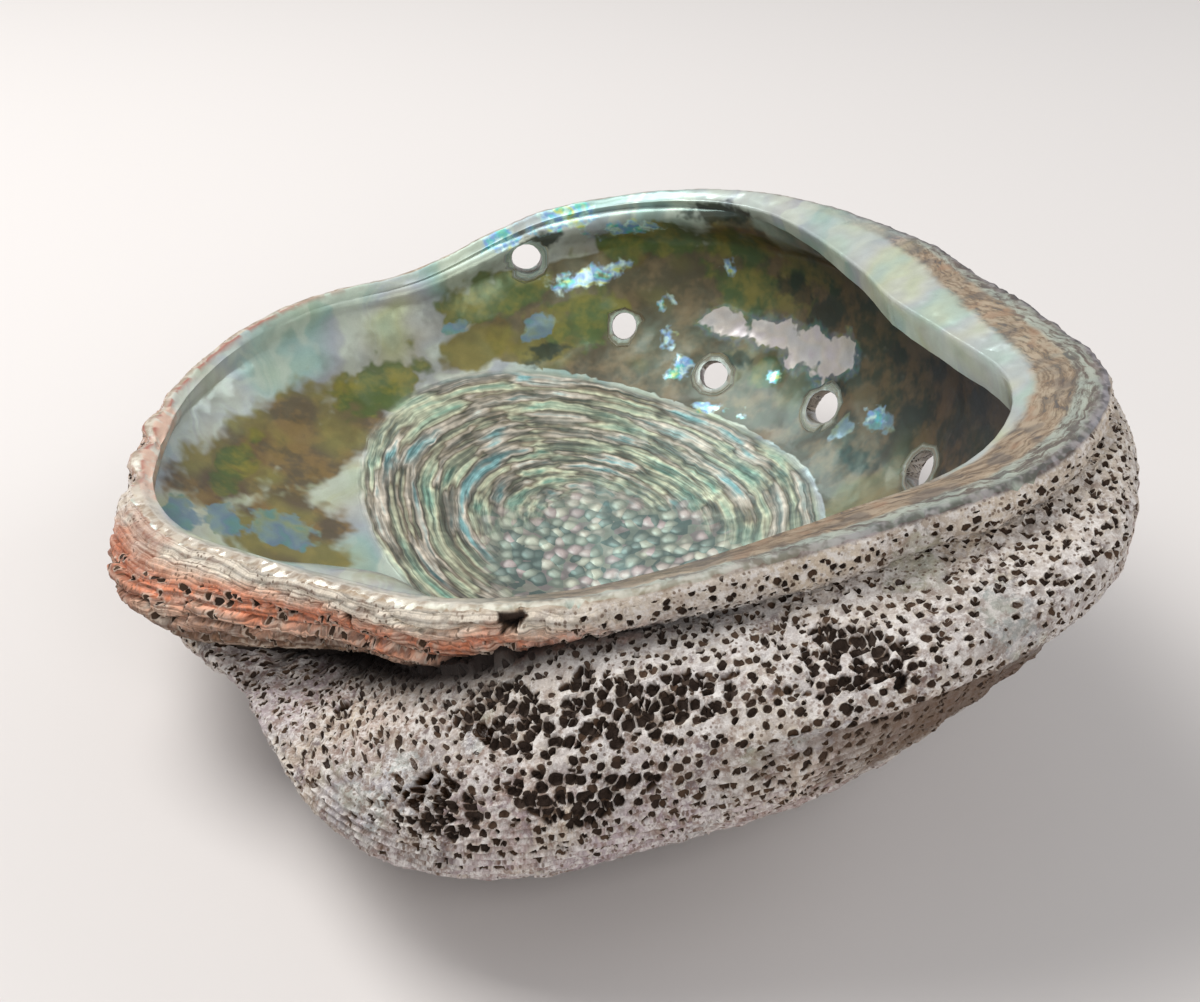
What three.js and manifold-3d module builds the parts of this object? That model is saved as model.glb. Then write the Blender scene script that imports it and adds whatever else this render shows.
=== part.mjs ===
// A red abalone shell, lying on its crown with the opening up.
// Units are millimetres, +Z is up, and the origin is the middle of the footprint.
//
// The wall is one skin. Round a middle axis it is drawn as a profile that runs from the
// crown up the outside, over the rim, down the inner shelf and across the nacre floor.
// Angles are degrees round that axis, anticlockwise from +X as seen from above.

import * as THREE from 'three';
import Module from 'manifold-3d';

// Overall form
const DEPTH = 51; // rim plane to crown, on the middle axis
const RIM_SLOPE = 0.2126; // rise of the rim plane towards +X, as the shell leans on its crown
const RIM_DIP = 3.5; // the rim sinks a little beside the newest breathing hole
const CROWN_X = 13; // the crown sits off the middle axis
const CROWN_Y = -11;
const CROWN_DRIFT = 1.5; // how late the profile drifts over to the crown
const FOOT_WEAR = 1.2; // worn off the crown, which leaves the flat it rests on

// Distance from the middle axis to the rim, every 15 degrees
const RIM_REACH = [
  69, 66, 65, 67, 71, 74.5, 76, 75, 74, 77, 80, 79.5,
  78, 78, 76, 72.5, 73, 77, 80, 82, 86.5, 94, 91.5, 78,
];

// Scallops on the growing lip
const SCALLOP_AT = 181;
const SCALLOP_SPREAD = 20;
const SCALLOP_STEP = 10;
const SCALLOP_SIZE = 2;

// Wall
const WALL = 5.2;
const LIP_WALL = 2.8; // the growing lip is the thinnest place
const RIM_ROUND = 0.8; // height of the rounded rim
const RIM_CREST = 1.6; // width of the rounded rim

// Columellar shelf
const SHELF_MIN = 3;
const SHELF_GAIN = 12;
const SHELF_SLOPE = 0.24; // fall of the shelf towards the bowl
const LIP_BEVEL = 0.46; // how much steeper that fall is along the growing lip
const LIP_FLARE = 4; // how far the lip's wall stands in under its rim
const LIP_AT = 137; // degrees; the middle of the growing lip
const LIP_SPREAD = 85; // degrees
const RIM_DIP_AT = 118; // degrees; the low place in the rim by the newest hole
const RIM_DIP_SPREAD = 24; // degrees
const SHELF_EDGE_MIN = 1.5;
const SHELF_EDGE_GAIN = 3;

// Muscle scar: a low pad on the bowl floor
const SCAR = { x: 1, y: 13, long: 48, short: 38, turn: -35, rise: 1.1 };

// Breathing holes, newest first: where each opens on the inside, and its width
const HOLES = [
  { angle: 100, depth: 8.5, width: 6.2 },
  { angle: 86, depth: 24, width: 5.4 },
  { angle: 69, depth: 30.6, width: 5.8 },
  { angle: 40, depth: 30, width: 6.8 },
  { angle: 5, depth: 29.3, width: 6.8 },
];
const HOLE_LEAN = new THREE.Vector3(0, 0.7, 0); // the holes lean towards the growing lip
const HOLE_FLARE = 1.2; // outer width over inner width
const COLLAR_FOOT = 5; // how far the low mound round each hole spreads
const COLLAR_TOP = 1.4;
const COLLAR_PROUD = 1;

// Resolution of the skin
const COLUMNS = 84;
const RINGS = { under: 12, shoulder: 5, band: 5, crest: 2, shelf: 3, edge: 2, neck: 2, cave: 3, bowl: 11 };
const LIP_CLOSER = 17; // columns crowd together towards the lip by up to this angle
const LIP_MIDDLE = 205;

const RAD = Math.PI / 180;
const cosd = (angle) => Math.cos(angle * RAD);
const sind = (angle) => Math.sin(angle * RAD);

// A smooth hump: 1 at its middle, 0 at half a width away and beyond.
function swell(angle, middle, half) {
  const away = Math.abs(((((angle - middle + 180) % 360) + 360) % 360) - 180);
  return away < half ? 0.5 + 0.5 * Math.cos((Math.PI * away) / half) : 0;
}

// The smooth closed outline through RIM_REACH.
function smoothReach(angle) {
  const count = RIM_REACH.length;
  const place = (((angle % 360) + 360) % 360) * (count / 360);
  const step = Math.floor(place);
  const t = place - step;
  const [a, b, c, d] = [-1, 0, 1, 2].map((k) => RIM_REACH[(step + k + count) % count]);
  return 0.5 * (2 * b + (c - a) * t + (2 * a - 5 * b + 4 * c - d) * t ** 2 + (3 * b - a - 3 * c + d) * t ** 3);
}

function rimReach(angle) {
  const wave = Math.abs(Math.sin((Math.PI * (angle - SCALLOP_AT)) / SCALLOP_STEP)) - 0.6;
  return smoothReach(angle) + SCALLOP_SIZE * wave * swell(angle, SCALLOP_AT, SCALLOP_SPREAD);
}

// Height of the rim above the rim plane's middle.
function rimHeight(angle) {
  return RIM_SLOPE * smoothReach(angle) * cosd(angle) - RIM_DIP * swell(angle, RIM_DIP_AT, RIM_DIP_SPREAD);
}

// Sizes of the wall at one angle. Heights are depths below the rim.
function wallAt(angle) {
  const reach = smoothReach(angle);
  const sutureIn = 2.5 * swell(angle, 290, 70) + 13 * swell(angle, 236, 26);
  const sutureDepth = 1.5 + 5 * swell(angle, 285, 70) + 19 * swell(angle, 226, 48);
  const spire = 12 * swell(angle, 249, 32) + 13 * swell(angle, 292, 69);
  const bellyDepth = 6.3 + 20 * swell(angle, 240, 74) + 1.5 * swell(angle, 325, 85) + 4 * swell(angle, 60, 60);
  const shelf = SHELF_MIN + SHELF_GAIN * swell(angle, 345, 105);
  return {
    reach,
    scallop: rimReach(angle) - reach,
    sutureIn,
    sutureDepth,
    shelf,
    belly: reach + 3.8 + spire - 6 * swell(angle, 332, 40) - LIP_FLARE * swell(angle, LIP_AT, LIP_SPREAD),
    bellyDepth: Math.max(bellyDepth, sutureDepth + 2.5),
    slope: SHELF_SLOPE + LIP_BEVEL * swell(angle, LIP_AT, LIP_SPREAD),
    steep: 90 - 30 * swell(angle, 165, 75),
    squareness: 1 / (1 - 0.175 * swell(angle, 320, 60)),
    overhang: 1.2 * Math.min(1, sutureIn / 3) + 8 * swell(angle, 214, 30),
    wall: WALL - (WALL - LIP_WALL) * swell(angle, 165, 80) + 1.8 * swell(angle, 262, 60),
    edge: SHELF_EDGE_MIN + SHELF_EDGE_GAIN * Math.max(0, (shelf - SHELF_MIN) / SHELF_GAIN),
  };
}

// Points of a bowl-shaped curve between the crown (t = 0) and the belly (t = 1).
function bowlPoint(size, belly, bellyDepth, depth, t) {
  const turn = t * size.steep;
  const out = belly * (sind(turn) / sind(size.steep)) ** size.squareness;
  const lift = Math.max(0, (cosd(turn) - cosd(size.steep)) / (1 - cosd(size.steep)));
  return [out, -bellyDepth - (depth - bellyDepth) * lift ** size.squareness];
}

function outsideProfile(size) {
  const points = [];
  const suture = size.reach - size.sutureIn;
  for (let i = 1; i <= RINGS.under; i += 1) {
    points.push(bowlPoint(size, size.belly, size.bellyDepth, DEPTH, i / RINGS.under));
  }
  for (let i = 1; i <= RINGS.shoulder; i += 1) {
    const turn = (90 * i) / RINGS.shoulder;
    const out = suture + (size.belly - suture) * cosd(turn);
    points.push([out, -size.bellyDepth + (size.bellyDepth - size.sutureDepth) * sind(turn)]);
  }
  const bandHeight = size.sutureDepth - RIM_ROUND;
  for (let i = 1; i <= RINGS.band; i += 1) {
    const t = i / RINGS.band;
    const turn = 90 * t;
    const scallop = size.scallop * THREE.MathUtils.smoothstep(t, 0.3, 1);
    const out = suture + size.sutureIn * sind(turn) + size.overhang * sind(2 * turn) + scallop;
    points.push([out, -size.sutureDepth + bandHeight * (0.4 * (1 - cosd(turn)) + 0.6 * t)]);
  }
  return points;
}

function rimProfile(size) {
  const points = [];
  const drop = size.slope * size.shelf;
  for (let i = 1; i <= RINGS.crest; i += 1) {
    const t = i / RINGS.crest;
    points.push([size.reach + size.scallop - RIM_CREST * t, RIM_ROUND * (Math.sqrt(t) - 1)]);
  }
  for (let i = 1; i <= RINGS.shelf; i += 1) {
    const t = i / RINGS.shelf;
    const out = size.reach + size.scallop * (1 - t) - RIM_CREST - (size.shelf - RIM_CREST) * t;
    points.push([out, -drop * t ** 1.5]);
  }
  for (let i = 1; i <= RINGS.edge; i += 1) {
    const t = i / RINGS.edge;
    const out = size.reach - size.shelf - 0.8 * sind(180 * t);
    points.push([out, -drop - size.edge * t * (1 - cosd(90 * t))]);
  }
  return points;
}

// From under the shelf, in past the suture, out into the hollow whorl and over the floor.
function insideProfile(size) {
  const points = [];
  const shelfOut = size.reach - size.shelf;
  const shelfDepth = size.slope * size.shelf + size.edge;
  const neckOut = size.reach - size.sutureIn - size.wall;
  const neckDepth = Math.max(size.sutureDepth, shelfDepth + 2);
  const caveOut = size.belly - size.wall;
  const caveDepth = Math.max(size.bellyDepth + 1, neckDepth + 2.5);
  for (let i = 1; i <= RINGS.neck; i += 1) {
    const turn = (90 * i) / RINGS.neck;
    const out = shelfOut + (neckOut - shelfOut) * sind(turn);
    points.push([out, -shelfDepth - (neckDepth - shelfDepth) * (1 - cosd(turn))]);
  }
  for (let i = 1; i <= RINGS.cave; i += 1) {
    const t = i / RINGS.cave;
    const out = neckOut + (caveOut - neckOut) * (0.5 - 0.5 * cosd(180 * t));
    points.push([out, -neckDepth - (caveDepth - neckDepth) * t]);
  }
  for (let i = RINGS.bowl - 1; i >= 1; i -= 1) {
    points.push(bowlPoint(size, caveOut, caveDepth, DEPTH - size.wall, i / RINGS.bowl));
  }
  return points;
}

// Height of the muscle scar's pad over the floor at one spot.
function scarRise(x, y) {
  const along = (x - SCAR.x) * cosd(SCAR.turn) + (y - SCAR.y) * sind(SCAR.turn);
  const across = (y - SCAR.y) * cosd(SCAR.turn) - (x - SCAR.x) * sind(SCAR.turn);
  const out = Math.hypot(along / SCAR.long, across / SCAR.short);
  return SCAR.rise * (1 - THREE.MathUtils.smoothstep(out, 0.85, 1.05));
}

// A profile point in space: deeper points drift over to the crown and lose the rim's lean.
function inSpace(angle, [out, height]) {
  const sunk = THREE.MathUtils.clamp(-height / DEPTH, 0, 1);
  const drift = sunk ** CROWN_DRIFT;
  const x = CROWN_X * drift + out * cosd(angle);
  const y = CROWN_Y * drift + out * sind(angle);
  return new THREE.Vector3(x, y, height + rimHeight(angle) * (1 - sunk));
}

// The point on the inner wall that is this far below the rim.
function insidePoint(angle, depth) {
  const points = insideProfile(wallAt(angle));
  const next = points.findIndex(([, height]) => -height >= depth);
  const [high, low] = [points[next - 1], points[next]];
  const t = (-high[1] - depth) / (low[1] - high[1]);
  return inSpace(angle, [THREE.MathUtils.lerp(high[0], low[0], t), -depth]);
}

// The wall's outward direction at that point.
function outwardAt(angle, depth) {
  const here = insidePoint(angle, depth);
  const round = insidePoint(angle + 1, depth).sub(here);
  const down = insidePoint(angle, depth + 0.5).sub(here);
  return down.cross(round).normalize();
}

function columnAngles() {
  return Array.from({ length: COLUMNS }, (_, i) => {
    const even = (360 * i) / COLUMNS;
    return even - LIP_CLOSER * sind(even - LIP_MIDDLE);
  });
}

function skinSolid(wasm) {
  const columns = columnAngles().map((angle) => {
    const size = wallAt(angle);
    const outside = outsideProfile(size);
    const inside = [...rimProfile(size), ...insideProfile(size)];
    const points = [...outside, ...inside].map((point) => inSpace(angle, point));
    const floorStart = points.length - RINGS.bowl - RINGS.cave;
    points.slice(floorStart).forEach((point) => {
      point.z += scarRise(point.x, point.y);
    });
    return points;
  });
  const rings = columns[0].length;
  const crown = new THREE.Vector3(CROWN_X, CROWN_Y, -DEPTH);
  const floor = columns.reduce((sum, points) => sum.add(points[rings - 1]), new THREE.Vector3());
  floor.divideScalar(COLUMNS);

  const positions = [crown, ...columns.flat(), floor].flatMap((point) => point.toArray());
  const last = COLUMNS * rings + 1;
  const faces = [];
  for (let i = 0; i < COLUMNS; i += 1) {
    const here = 1 + i * rings;
    const there = 1 + ((i + 1) % COLUMNS) * rings;
    faces.push(0, there, here);
    for (let ring = 0; ring < rings - 1; ring += 1) {
      faces.push(here + ring, there + ring, there + ring + 1);
      faces.push(here + ring, there + ring + 1, here + ring + 1);
    }
    faces.push(here + rings - 1, there + rings - 1, last);
  }
  return new wasm.Manifold(new wasm.Mesh({
    numProp: 3,
    vertProperties: new Float32Array(positions),
    triVerts: new Uint32Array(faces),
  }));
}

// A tapered round bar from one point to another.
function bar(wasm, from, to, startRadius, endRadius) {
  const along = new THREE.Vector3().subVectors(to, from);
  const turn = new THREE.Quaternion();
  turn.setFromUnitVectors(new THREE.Vector3(0, 0, 1), along.clone().normalize());
  const place = new THREE.Matrix4().compose(from, turn, new THREE.Vector3(1, 1, 1));
  return wasm.Manifold.cylinder(along.length(), startRadius, endRadius, 20).transform(place.toArray());
}

function withHoles(wasm, shell) {
  let result = shell;
  for (const hole of HOLES) {
    const inner = insidePoint(hole.angle, hole.depth);
    const outward = outwardAt(hole.angle, hole.depth);
    const lean = outward.clone().add(HOLE_LEAN).normalize();
    const { wall } = wallAt(hole.angle);
    const radius = hole.width / 2;
    const foot = inner.clone().addScaledVector(lean, wall / 2);
    const top = foot.clone().addScaledVector(outward, wall / 2 + COLLAR_PROUD);
    const start = inner.clone().addScaledVector(lean, -wall);
    const end = inner.clone().addScaledVector(lean, 3 * wall);
    const collar = bar(wasm, foot, top, radius + COLLAR_FOOT, radius + COLLAR_TOP);
    result = result.add(collar).subtract(bar(wasm, start, end, radius, radius * HOLE_FLARE));
  }
  return result;
}

function withFoot(wasm, shell) {
  const block = wasm.Manifold.cube([400, 400, 100], true).translate([0, 0, -DEPTH + FOOT_WEAR - 50]);
  return shell.subtract(block);
}

function toGeometry(solid) {
  const { min, max } = solid.boundingBox();
  const centred = solid.translate([-(min[0] + max[0]) / 2, -(min[1] + max[1]) / 2, -min[2]]);
  const mesh = centred.getMesh();
  const geometry = new THREE.BufferGeometry();
  geometry.setAttribute('position', new THREE.Float32BufferAttribute(mesh.vertProperties, mesh.numProp));
  geometry.setIndex(new THREE.BufferAttribute(mesh.triVerts, 1));
  geometry.computeVertexNormals();
  return geometry;
}

const wasm = await Module();
wasm.setup();

const solid = withFoot(wasm, withHoles(wasm, skinSolid(wasm)));
const shell = new THREE.Mesh(
  toGeometry(solid),
  new THREE.MeshStandardMaterial({ color: 0xb8ab9d, roughness: 0.75, metalness: 0 }),
);
shell.name = 'shell';

const abalone = new THREE.Group();
abalone.name = 'abalone_shell';
abalone.add(shell);

export default abalone;
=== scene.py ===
"""A red abalone shell lying on its crown: nacre bowl, muscle scar, inner shelf and sponge-bored crust.

The wall is drawn as one dense closed skin from the same form as the frame, cut by its breathing
holes, thinned, and dressed with two finishes, one for the crust and one for the nacre.
Sizes are millimetres unless a name says otherwise, and the meshes are built in metres.
"""

import logging
import math
from dataclasses import dataclass, field
from enum import Enum

import bpy
import numpy as np
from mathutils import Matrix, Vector

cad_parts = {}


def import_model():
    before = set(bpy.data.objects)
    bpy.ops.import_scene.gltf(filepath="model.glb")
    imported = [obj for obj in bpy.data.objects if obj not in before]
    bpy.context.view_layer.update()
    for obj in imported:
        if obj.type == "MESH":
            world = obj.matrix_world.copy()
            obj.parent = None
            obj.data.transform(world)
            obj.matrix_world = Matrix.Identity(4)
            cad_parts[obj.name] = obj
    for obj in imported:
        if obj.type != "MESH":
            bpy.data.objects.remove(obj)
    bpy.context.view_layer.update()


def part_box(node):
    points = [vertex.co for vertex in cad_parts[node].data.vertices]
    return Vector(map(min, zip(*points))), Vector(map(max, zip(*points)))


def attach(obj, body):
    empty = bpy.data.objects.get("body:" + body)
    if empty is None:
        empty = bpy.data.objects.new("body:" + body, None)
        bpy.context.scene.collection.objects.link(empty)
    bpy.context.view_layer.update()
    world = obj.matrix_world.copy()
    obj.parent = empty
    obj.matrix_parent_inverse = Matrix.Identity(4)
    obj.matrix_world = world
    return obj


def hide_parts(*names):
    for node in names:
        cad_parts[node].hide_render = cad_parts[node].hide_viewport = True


log = logging.getLogger("abalone")

MM = 0.001
Socket = bpy.types.NodeSocket
Values = dict[str, np.ndarray]


# ---------------------------------------------------------------- small curves


def cosd(angle: np.ndarray) -> np.ndarray:
    """Cosine of an angle in degrees."""
    return np.cos(np.radians(angle))


def sind(angle: np.ndarray) -> np.ndarray:
    """Sine of an angle in degrees."""
    return np.sin(np.radians(angle))


def swell(angle: np.ndarray, middle: float, half: float) -> np.ndarray:
    """A smooth hump round the shell: 1 at its middle angle, 0 at half a width away and beyond."""
    away = np.abs((angle - middle + 180) % 360 - 180)
    return np.where(away < half, 0.5 + 0.5 * np.cos(np.pi * away / half), 0.0)


def ease(value: np.ndarray, low: float, high: float) -> np.ndarray:
    """Smooth rise from 0 at low to 1 at high."""
    t = np.clip((value - low) / (high - low), 0, 1)
    return t * t * (3 - 2 * t)


def shuffled(number: np.ndarray) -> np.ndarray:
    """A fixed random value between 0 and 1 for each whole number."""
    return np.abs(np.sin(number * 12.9898 + 4.137) * 43758.5453) % 1.0


# ---------------------------------------------------------------- the form


class Side(Enum):
    """The two faces of the wall."""

    OUTSIDE = "outside"
    INSIDE = "inside"


class Part(Enum):
    """The stretches of the wall's profile, from the crown over the rim to the middle of the floor.

    Each value is (place along the profile, rings of the dense skin).
    """

    UNDER = (0, 200)
    SHOULDER = (1, 46)
    BAND = (2, 52)
    CREST = (3, 4)
    SHELF = (4, 18)
    EDGE = (5, 8)
    NECK = (6, 14)
    CAVE = (7, 22)
    FLOOR = (8, 110)


@dataclass(frozen=True)
class WallSizes:
    """The wall's sizes at each of several angles. Depths are below the rim."""

    even: np.ndarray
    reach: np.ndarray
    suture_in: np.ndarray
    suture_depth: np.ndarray
    shelf: np.ndarray
    belly: np.ndarray
    belly_depth: np.ndarray
    slope: np.ndarray
    steep: np.ndarray
    squareness: np.ndarray
    overhang: np.ndarray
    wall: np.ndarray
    edge: np.ndarray
    nose: np.ndarray


@dataclass(frozen=True)
class Hole:
    """A breathing hole: where it opens on the inside, and its width."""

    angle: float
    depth: float
    width: float


@dataclass(frozen=True)
class ShellForm:
    """The shell's form as a profile that goes round a middle axis. The rim's middle is the origin."""

    depth: float = 51.0
    rim_slope: float = 0.2126
    rim_dip: float = 3.5
    crown: tuple[float, float] = (13.0, -11.0)
    crown_drift: float = 1.5
    foot_wear: float = 1.2
    rim_reaches: tuple[float, ...] = (
        69, 66, 65, 67, 71, 74.5, 76, 75, 74, 77, 80, 79.5,
        78, 78, 76, 72.5, 73, 77, 80, 82, 86.5, 94, 91.5, 78,
    )  # fmt: skip
    scallop_at: float = 181.0
    scallop_spread: float = 20.0
    scallop_step: float = 10.0
    scallop_size: float = 2.0
    wall: float = 5.2
    lip_wall: float = 2.8
    rim_round: float = 0.8
    rim_crest: float = 1.6
    shelf_min: float = 3.0
    shelf_gain: float = 12.0
    shelf_slope: float = 0.24
    lip_bevel: float = 0.46
    lip_flare: float = 4.0
    lip_at: float = 137.0
    lip_spread: float = 85.0
    edge_min: float = 1.5
    edge_gain: float = 3.0
    lip_thinned: float = 1.2
    shelf_nose: float = 0.8
    scar_middle: tuple[float, float] = (1.0, 13.0)
    scar_half: tuple[float, float] = (48.0, 38.0)
    scar_turn: float = -35.0
    scar_rise: float = 1.1
    hole_flare: float = 1.2
    holes: tuple[Hole, ...] = (
        Hole(100, 8.5, 6.2), Hole(86, 24, 5.4), Hole(69, 30.6, 5.8), Hole(40, 30, 6.8), Hole(5, 29.3, 6.8),
    )  # fmt: skip

    def even_reach(self, angle: np.ndarray) -> np.ndarray:
        """Distance from the middle axis to the rim, without the scallops.

        Args:
            angle: Degrees round the middle axis.

        Returns:
            The distances, on one smooth curve through the rim's reaches.
        """
        values = np.array(self.rim_reaches, float)
        count = len(values)
        spot = (angle % 360) * (count / 360)
        step = np.floor(spot).astype(int)
        t = spot - step
        a, b, c, d = (values[(step + k) % count] for k in (-1, 0, 1, 2))
        return 0.5 * (
            2 * b + (c - a) * t + (2 * a - 5 * b + 4 * c - d) * t**2 + (3 * b - a - 3 * c + d) * t**3
        )

    def rim_reach(self, angle: np.ndarray) -> np.ndarray:
        """Distance from the middle axis to the scalloped rim."""
        wave = np.abs(np.sin(np.pi * (angle - self.scallop_at) / self.scallop_step)) - 0.6
        scalloped = swell(angle, self.scallop_at, self.scallop_spread)
        return self.even_reach(angle) + self.scallop_size * wave * scalloped

    def rim_height(self, angle: np.ndarray) -> np.ndarray:
        """Height of the rim above the rim plane's middle."""
        return self.rim_slope * self.even_reach(angle) * cosd(angle) - self.rim_dip * swell(angle, 118, 24)

    def wall_sizes(self, angle: np.ndarray) -> WallSizes:
        """The wall's sizes at each angle.

        Args:
            angle: Degrees round the middle axis, anticlockwise from +X.

        Returns:
            The sizes, one array each.
        """
        even = self.even_reach(angle)
        suture_in = 2.5 * swell(angle, 290, 70) + 13 * swell(angle, 236, 26)
        suture_depth = 1.5 + 5 * swell(angle, 285, 70) + 19 * swell(angle, 226, 48)
        spire = 12 * swell(angle, 249, 32) + 13 * swell(angle, 292, 69)
        belly_depth = 6.3 + 20 * swell(angle, 240, 74) + 1.5 * swell(angle, 325, 85)
        belly_depth = belly_depth + 4 * swell(angle, 60, 60)
        shelf = self.shelf_min + self.shelf_gain * swell(angle, 345, 105)
        share = np.maximum(0, (shelf - self.shelf_min) / self.shelf_gain)
        lip = swell(angle, self.lip_at, self.lip_spread)
        wall = self.wall - (self.wall - self.lip_wall) * swell(angle, 165, 80)
        return WallSizes(
            even=even,
            reach=self.rim_reach(angle),
            suture_in=suture_in,
            suture_depth=suture_depth,
            shelf=shelf,
            belly=even + 3.8 + spire - 6 * swell(angle, 332, 40) - self.lip_flare * lip,
            belly_depth=np.maximum(belly_depth, suture_depth + 2.5),
            slope=self.shelf_slope + self.lip_bevel * lip,
            steep=90 - 30 * swell(angle, 165, 75),
            squareness=1 / (1 - 0.175 * swell(angle, 320, 60)),
            overhang=1.2 * np.minimum(1, suture_in / 3) + 8 * swell(angle, 214, 30),
            wall=wall + 1.8 * swell(angle, 262, 60),
            edge=self.edge_min + self.edge_gain * share - self.lip_thinned * lip,
            nose=self.shelf_nose * (1 - lip),
        )

    def bowl(
        self, size: WallSizes, belly: np.ndarray, belly_depth: np.ndarray, depth: np.ndarray, t: float
    ) -> tuple[np.ndarray, np.ndarray]:
        """A point of a bowl-shaped curve between the crown (t = 0) and the belly (t = 1).

        Args:
            size: The wall's sizes.
            belly: How far out the curve ends.
            belly_depth: How deep it ends.
            depth: How deep it starts.
            t: Share of the way from crown to belly.

        Returns:
            Distance out and height of the point, for each angle.
        """
        turn = t * size.steep
        out = belly * (sind(turn) / sind(size.steep)) ** size.squareness
        lift = np.maximum(0, (cosd(turn) - cosd(size.steep)) / (1 - cosd(size.steep)))
        return out, -belly_depth - (depth - belly_depth) * lift**size.squareness

    def outside_at(self, part: Part, size: WallSizes, t: float) -> tuple[np.ndarray, np.ndarray]:
        """Distance out and height on one of the outer parts of the profile.

        Args:
            part: UNDER, SHOULDER, BAND or CREST.
            size: The wall's sizes.
            t: Share of the way along the part.

        Returns:
            Distance out and height, for each angle.
        """
        suture = size.even - size.suture_in
        if part is Part.UNDER:
            return self.bowl(size, size.belly, size.belly_depth, np.full_like(size.even, self.depth), t)
        if part is Part.SHOULDER:
            rise = size.belly_depth - size.suture_depth
            return suture + (size.belly - suture) * cosd(90 * t), rise * sind(90 * t) - size.belly_depth
        if part is Part.BAND:
            bulge = size.suture_in * sind(90 * t) + size.overhang * sind(180 * t)
            climb = (size.suture_depth - self.rim_round) * (0.4 * (1 - cosd(90 * t)) + 0.6 * t)
            return suture + bulge + (size.reach - size.even) * ease(t, 0.3, 1), climb - size.suture_depth
        return size.reach - self.rim_crest * t, np.full_like(size.even, self.rim_round * (math.sqrt(t) - 1))

    def inside_at(self, part: Part, size: WallSizes, t: float) -> tuple[np.ndarray, np.ndarray]:
        """Distance out and height on one of the inner parts of the profile.

        Args:
            part: SHELF, EDGE, NECK, CAVE or FLOOR.
            size: The wall's sizes.
            t: Share of the way along the part.

        Returns:
            Distance out and height, for each angle.
        """
        drop = size.slope * size.shelf
        shelf_out = size.even - size.shelf
        shelf_depth = drop + size.edge
        neck_out = size.even - size.suture_in - size.wall
        neck_depth = np.maximum(size.suture_depth, shelf_depth + 2)
        cave_out = size.belly - size.wall
        cave_depth = np.maximum(size.belly_depth + 1, neck_depth + 2.5)
        if part is Part.SHELF:
            out = size.even - self.rim_crest - (size.shelf - self.rim_crest) * t
            return out + (size.reach - size.even) * (1 - t), -drop * t**1.5
        if part is Part.EDGE:
            return shelf_out - size.nose * sind(180 * t), -drop - size.edge * t * (1 - cosd(90 * t))
        if part is Part.NECK:
            fall = (neck_depth - shelf_depth) * (1 - cosd(90 * t))
            return shelf_out + (neck_out - shelf_out) * sind(90 * t), -shelf_depth - fall
        if part is Part.CAVE:
            out = neck_out + (cave_out - neck_out) * (0.5 - 0.5 * cosd(180 * t))
            return out, -neck_depth - (cave_depth - neck_depth) * t
        return self.bowl(size, cave_out, cave_depth, self.depth - size.wall, 1 - t)

    def profile_at(self, part: Part, size: WallSizes, t: float) -> tuple[np.ndarray, np.ndarray]:
        """Distance out and height on any part of the profile."""
        outer = part.value[0] <= Part.CREST.value[0]
        return (self.outside_at if outer else self.inside_at)(part, size, t)

    def scar_spot(self, x: np.ndarray, y: np.ndarray) -> tuple[np.ndarray, np.ndarray, np.ndarray]:
        """Where a spot lies on the muscle scar.

        Args:
            x: Distance along X.
            y: Distance along Y.

        Returns:
            Distance along the scar and across it, and the share of the way out to its outline.
        """
        c, s = cosd(self.scar_turn), sind(self.scar_turn)
        dx, dy = x - self.scar_middle[0], y - self.scar_middle[1]
        along, across = dx * c + dy * s, dy * c - dx * s
        return along, across, np.hypot(along / self.scar_half[0], across / self.scar_half[1])

    def in_space(self, angle: np.ndarray, out: np.ndarray, height: np.ndarray, part: Part) -> np.ndarray:
        """Profile points in space: deeper points drift over to the crown and lose the rim's lean.

        Args:
            angle: Degrees round the middle axis.
            out: Distance out.
            height: Height above the rim.
            part: The part of the profile, as the scar's pad is on the cave and the floor only.

        Returns:
            Points, one row for each angle.
        """
        sunk = np.clip(-height / self.depth, 0, 1)
        drift = sunk**self.crown_drift
        x = self.crown[0] * drift + out * cosd(angle)
        y = self.crown[1] * drift + out * sind(angle)
        z = height + self.rim_height(angle) * (1 - sunk)
        if part in (Part.CAVE, Part.FLOOR):
            z = z + self.scar_rise * (1 - ease(self.scar_spot(x, y)[2], 0.85, 1.05))
        return np.stack([x, y, z], -1)

    def wall_point(self, angle: float, depth: float, side: Side) -> np.ndarray:
        """The point on one face of the wall that is so far below the rim.

        Args:
            angle: Degrees round the middle axis.
            depth: How far below the rim.
            side: Which face of the wall.

        Returns:
            The point.
        """
        turn = np.array([float(angle)])
        size = self.wall_sizes(turn)
        shares = np.linspace(0, 1, 60)
        if side is Side.INSIDE:
            way = (Part.SHELF, Part.EDGE, Part.NECK, Part.CAVE, Part.FLOOR)
            walk = [(part, t) for part in way for t in shares]
        else:
            walk = [(part, 1 - t) for part in (Part.BAND, Part.SHOULDER, Part.UNDER) for t in shares]
        outs, heights = np.array([np.ravel(self.profile_at(part, size, t)) for part, t in walk]).T
        after = max(1, int(np.argmax(-heights >= depth)))
        gap = heights[after - 1] - heights[after]
        t = np.clip((heights[after - 1] + depth) / gap if gap else 0.0, 0, 1)
        out = outs[after - 1] + (outs[after] - outs[after - 1]) * t
        return self.in_space(turn, np.array([out]), np.array([-float(depth)]), walk[after][0])[0]

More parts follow.
